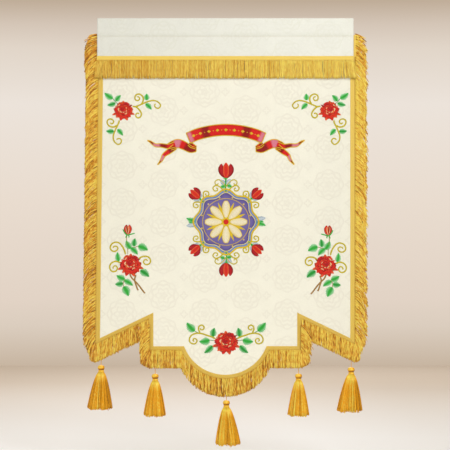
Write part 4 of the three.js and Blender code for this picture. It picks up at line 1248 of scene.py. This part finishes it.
def buildMedallion():
    middle, field, reach = medallion["middle"], medallion["field"], medallion["petal"]
    lobes, depth = medallion["lobes"], medallion["depth"]
    foot = field * 0.98
    parts = []
    # scrolls, leaves and flowers that radiate from the field, long upwards and downwards
    for number, (angle, stalk, size, spread) in enumerate(rays):
        stalkPoints = along(angle, [(foot, 0), (foot + stalk * 0.5, 1.5), (foot + stalk, 0)])
        parts.append(scroll(stalkPoints, 4.0, 20, False, leafGreen, stemGreen))
        for side in (-1, 1):
            short = (np.array(shortScroll) * [1, side] + [foot, 0]) * [1, spread]
            parts.append(scroll(along(angle, short), 4.0))
            if number < 2:
                parts.append(scroll(along(angle, np.array(longScroll) * [1, side] + [foot, 0]), 3.4))
                parts.append(leafOn(angle, (foot + 22, side * 3), (foot + 17, side * 17), 10.0, 600 + number))
            base, tip = [(foot + out + 0.3 * stalk, side * away) for out, away in ((12, 2), (26, 15))]
            parts.append(leafOn(angle, base, tip, 10.5, 610 + number, True))
        parts += tulip(angle, foot + stalk, size, 620 + 5 * number)
    for angle in (0, 180):
        for side in (-1, 1):
            parts.append(leafOn(angle, (field + 2, side * 3), (field + 30, side * 11), 12.0, 660, side > 0))
        parts.append(leafOn(angle, (field + 2, 0), (field + 24, 0), 10.0, 661))
    # the field with its gold and blue borders
    parts.append(polarPatch(middle, field + 4, lobes, depth, fieldBlue, fieldBlue, 0.5, 0.3))
    parts.append(ringCord(field + 4, lobes, depth, 4.6, medalGold, 0.8))
    parts.append(polarPatch(middle, field - 5, lobes, depth, fieldViolet, fieldDeep, 0.9, 0.5))
    parts.append(ringCord(field - 5, lobes, depth, 2.2, medalPale, 1.3))
    parts.append(ringCord(field * 0.8, 0, 0, 1.8, medalGold, 1.4))
    # a rosette of cream petals with gold rims, smaller gold petals between, and a red heart
    t = np.linspace(0, 1, 24)
    half = 3.6 * np.sin(np.pi * mix(0.04, 0.98, t)) ** 0.7
    for k in range(8):
        spine = along(22.5 + 45 * k, np.stack([13 + (reach - 15) * t, 0 * t], 1))
        parts.append(satin(spine, half, medalGold, scrollGold, 0.7, 1.4, 7, 0.4, 0.3))
    t = np.linspace(0, 1, 28)
    half = 10.6 * np.sin(np.pi * mix(0.03, 0.97, t) ** 1.25) ** 0.62
    for k in range(8):
        spine = along(45 * k, np.stack([9 + (reach - 9) * t, 0 * t], 1))
        parts.append(satin(spine, half + 1.5, medalGold, medalGold, 0.7, 1.5, 9, 0.5, 0.3))
        parts.append(satin(spine[1:-1], half[1:-1], medalCream, medalPale, 0.8, 1.9, 9, 0.6, 0.5, 0.3))
    parts.append(polarPatch(middle, 14, 12, 0.05, medalGold, scrollGold, 2.2, 1.0, 8, 60))
    parts.append(polarPatch(middle, 8, 0, 0.0, red, dark, 2.9, 1.0, 7, 40))
    for k in range(12):
        spot = along(30 * k + 15, (field * 0.8 + 4.6, 0))
        parts.append(polarPatch(spot, 2.3, 0, 0, medalGold, medalPale, 1.4, 0.8, 4, 12))
    return parts


makePiece("embroideredMedallion", buildMedallion(), [floss], "gold_fringe")
print("medallion made")


# Sewing
def stitches(points, pitch, long, radius, faceOf, side):
    # short arches of thread along a line: every pitch, the cord dips out of the cloth and back in
    length = lengthAlong(points)
    starts = np.arange(pitch, length[-1] - pitch, pitch)
    t = np.linspace(0, 1, 4)
    x, z = [np.interp(starts[:, None] + long * t, length, points[:, axis]) for axis in (0, 1)]
    y = faceOf(x, z) + side * radius * np.sin(np.pi * t)
    return cords(np.stack([x, y, z], -1), radius, np.full(len(starts), 0.5))


def sleeveFace(x, z):
    return -sleeveFront(x) - sleeveSizes["thick"] / 2


def clothBack(x, z):
    return lie(x, z) + cloth["thick"] / 2


# Spun polyester sewing thread in cream: matt, and made a shade darker than the cloth as painted shade where it sinks in
thread, _, _ = newMaterial("sewingThread", Roughness=0.7, Sheen_Weight=0.2, Base_Color=(*linear("#DDD3B8"), 1))
# a stitch line's pitch, its stitches' length and the thread's radius
seamSizes = {"pocket": (3.4, 2.6, 0.28), "tape": (4.0, 3.0, 0.3)}
pocketLine = np.array([[-357.0, -51.5], [357.0, -51.5]])
middleLine = (wholeChain + wholeInner) / 2
seams = [stitches(pocketLine, *seamSizes["pocket"], sleeveFace, -1)]
for line in (middleLine[:2], middleLine[-2:], middleLine[1:-1]):
    seams.append(stitches(line, *seamSizes["tape"], clothBack, 1))
makePiece("sewnLines", seams, [thread], "sleeve_cloth")
print("seams made")


# Studio
# A pale floor with painted shade that darkens it a little towards its far edge, as the backdrop does
floorSizes = {"z": -1.262, "half": 6.0, "behind": 3.6, "ahead": 6.5}
floorMesh = bpy.data.meshes.new("floor")
h, near, far, level = floorSizes["half"], -floorSizes["ahead"], floorSizes["behind"], floorSizes["z"]
floorMesh.from_pydata([(-h, near, level), (h, near, level), (h, far, level), (-h, far, level)], [], [(0, 1, 2, 3)])
floorMaterial, tree, surface = newMaterial("paleFloor", Roughness=0.9, Specular_IOR_Level=0.1)
axes = addNode(tree, "ShaderNodeSeparateXYZ", n0=addNode(tree, "ShaderNodeTexCoord").outputs["Object"]).outputs
paintedFarShade = blended(tree, ranged(tree, axes["Y"], 2.7, 0.7, 0.0, 1.0), linear("#E3DBD0"), linear("#FAFEFF"))
# the right half is a little darker, to even out the key light that falls there
ahead = ranged(tree, axes["Y"], 3.4, 2.4, 0.0, 1.0)
share = calculator(tree)("MULTIPLY", ranged(tree, axes["X"], -0.5, 0.7, 0.0, 1.0), ahead)
even = blended(tree, share, (1, 1, 1), (0.83, 0.81, 0.785))
floorColour = addNode(tree, "ShaderNodeVectorMath", {"operation": "MULTIPLY"}, n0=paintedFarShade, n1=even)
tree.links.new(floorColour.outputs[0], surface.inputs["Base Color"])
floorMesh.materials.append(floorMaterial)
floor = bpy.data.objects.new("floor", floorMesh)
scene.collection.objects.link(floor)

world = bpy.data.worlds.new("studio")
scene.world = world
world.use_nodes = True
sky = world.node_tree
backdrop = sky.nodes["Background"]
axes = addNode(sky, "ShaderNodeSeparateXYZ", n0=addNode(sky, "ShaderNodeTexCoord").outputs["Generated"]).outputs
# a warm grey sweep, palest a little above eye level and darker overhead and towards the floor
skyStops = [
    (0.0, "#C5B39E"), (0.2, "#C7B5A1"), (0.284, "#DBCDBE"), (0.34, "#E2D3C5"), (0.554, "#E9DCCF"),
    (0.76, "#ECE3DA"), (0.88, "#E1D5C8"), (0.93, "#D4C5B6"), (0.982, "#BEAB96"), (1.0, "#BEAB96"),
]
sweep = colourRamp(sky, ranged(sky, axes["Z"], -0.13, 0.13, 0.0, 1.0), skyStops)
sky.links.new(sweep, backdrop.inputs["Color"])
backdrop.inputs["Strength"].default_value = 1.0

# Softboxes. Columns: name, place, target, size, watts, colour
for name, place, target, size, watts, colour in (
    ("keyBox", (1.7, -3.2, 1.7), (0, 0, -0.6), (1.5, 1.5), 78, "#F0F6FF"),
    ("fillBox", (-2.6, -3.4, 0.2), (0, 0, -0.7), (2.4, 2.4), 26, "#EDF4FF"),
    ("floorBox", (0, 1.2, 1.4), (0, 0.6, -1.26), (2.5, 1.2), 26, "#E6F0FF"),
    ("backBox", (0.5, 3.0, 0.9), (0, 0, -0.6), (2.0, 2.0), 24, "#FFFDF8"),
):
    data = bpy.data.lights.new(name, "AREA")
    data.shape = "RECTANGLE"
    data.size, data.size_y = size
    data.energy = watts
    data.color = linear(colour)
    lamp = bpy.data.objects.new(name, data)
    lamp.location = place
    aim = np.subtract(target, place)
    lamp.rotation_euler = (math.atan2(math.hypot(aim[0], aim[1]), -aim[2]), 0, math.atan2(aim[1], aim[0]) - math.pi / 2)
    scene.collection.objects.link(lamp)
print("studio set")
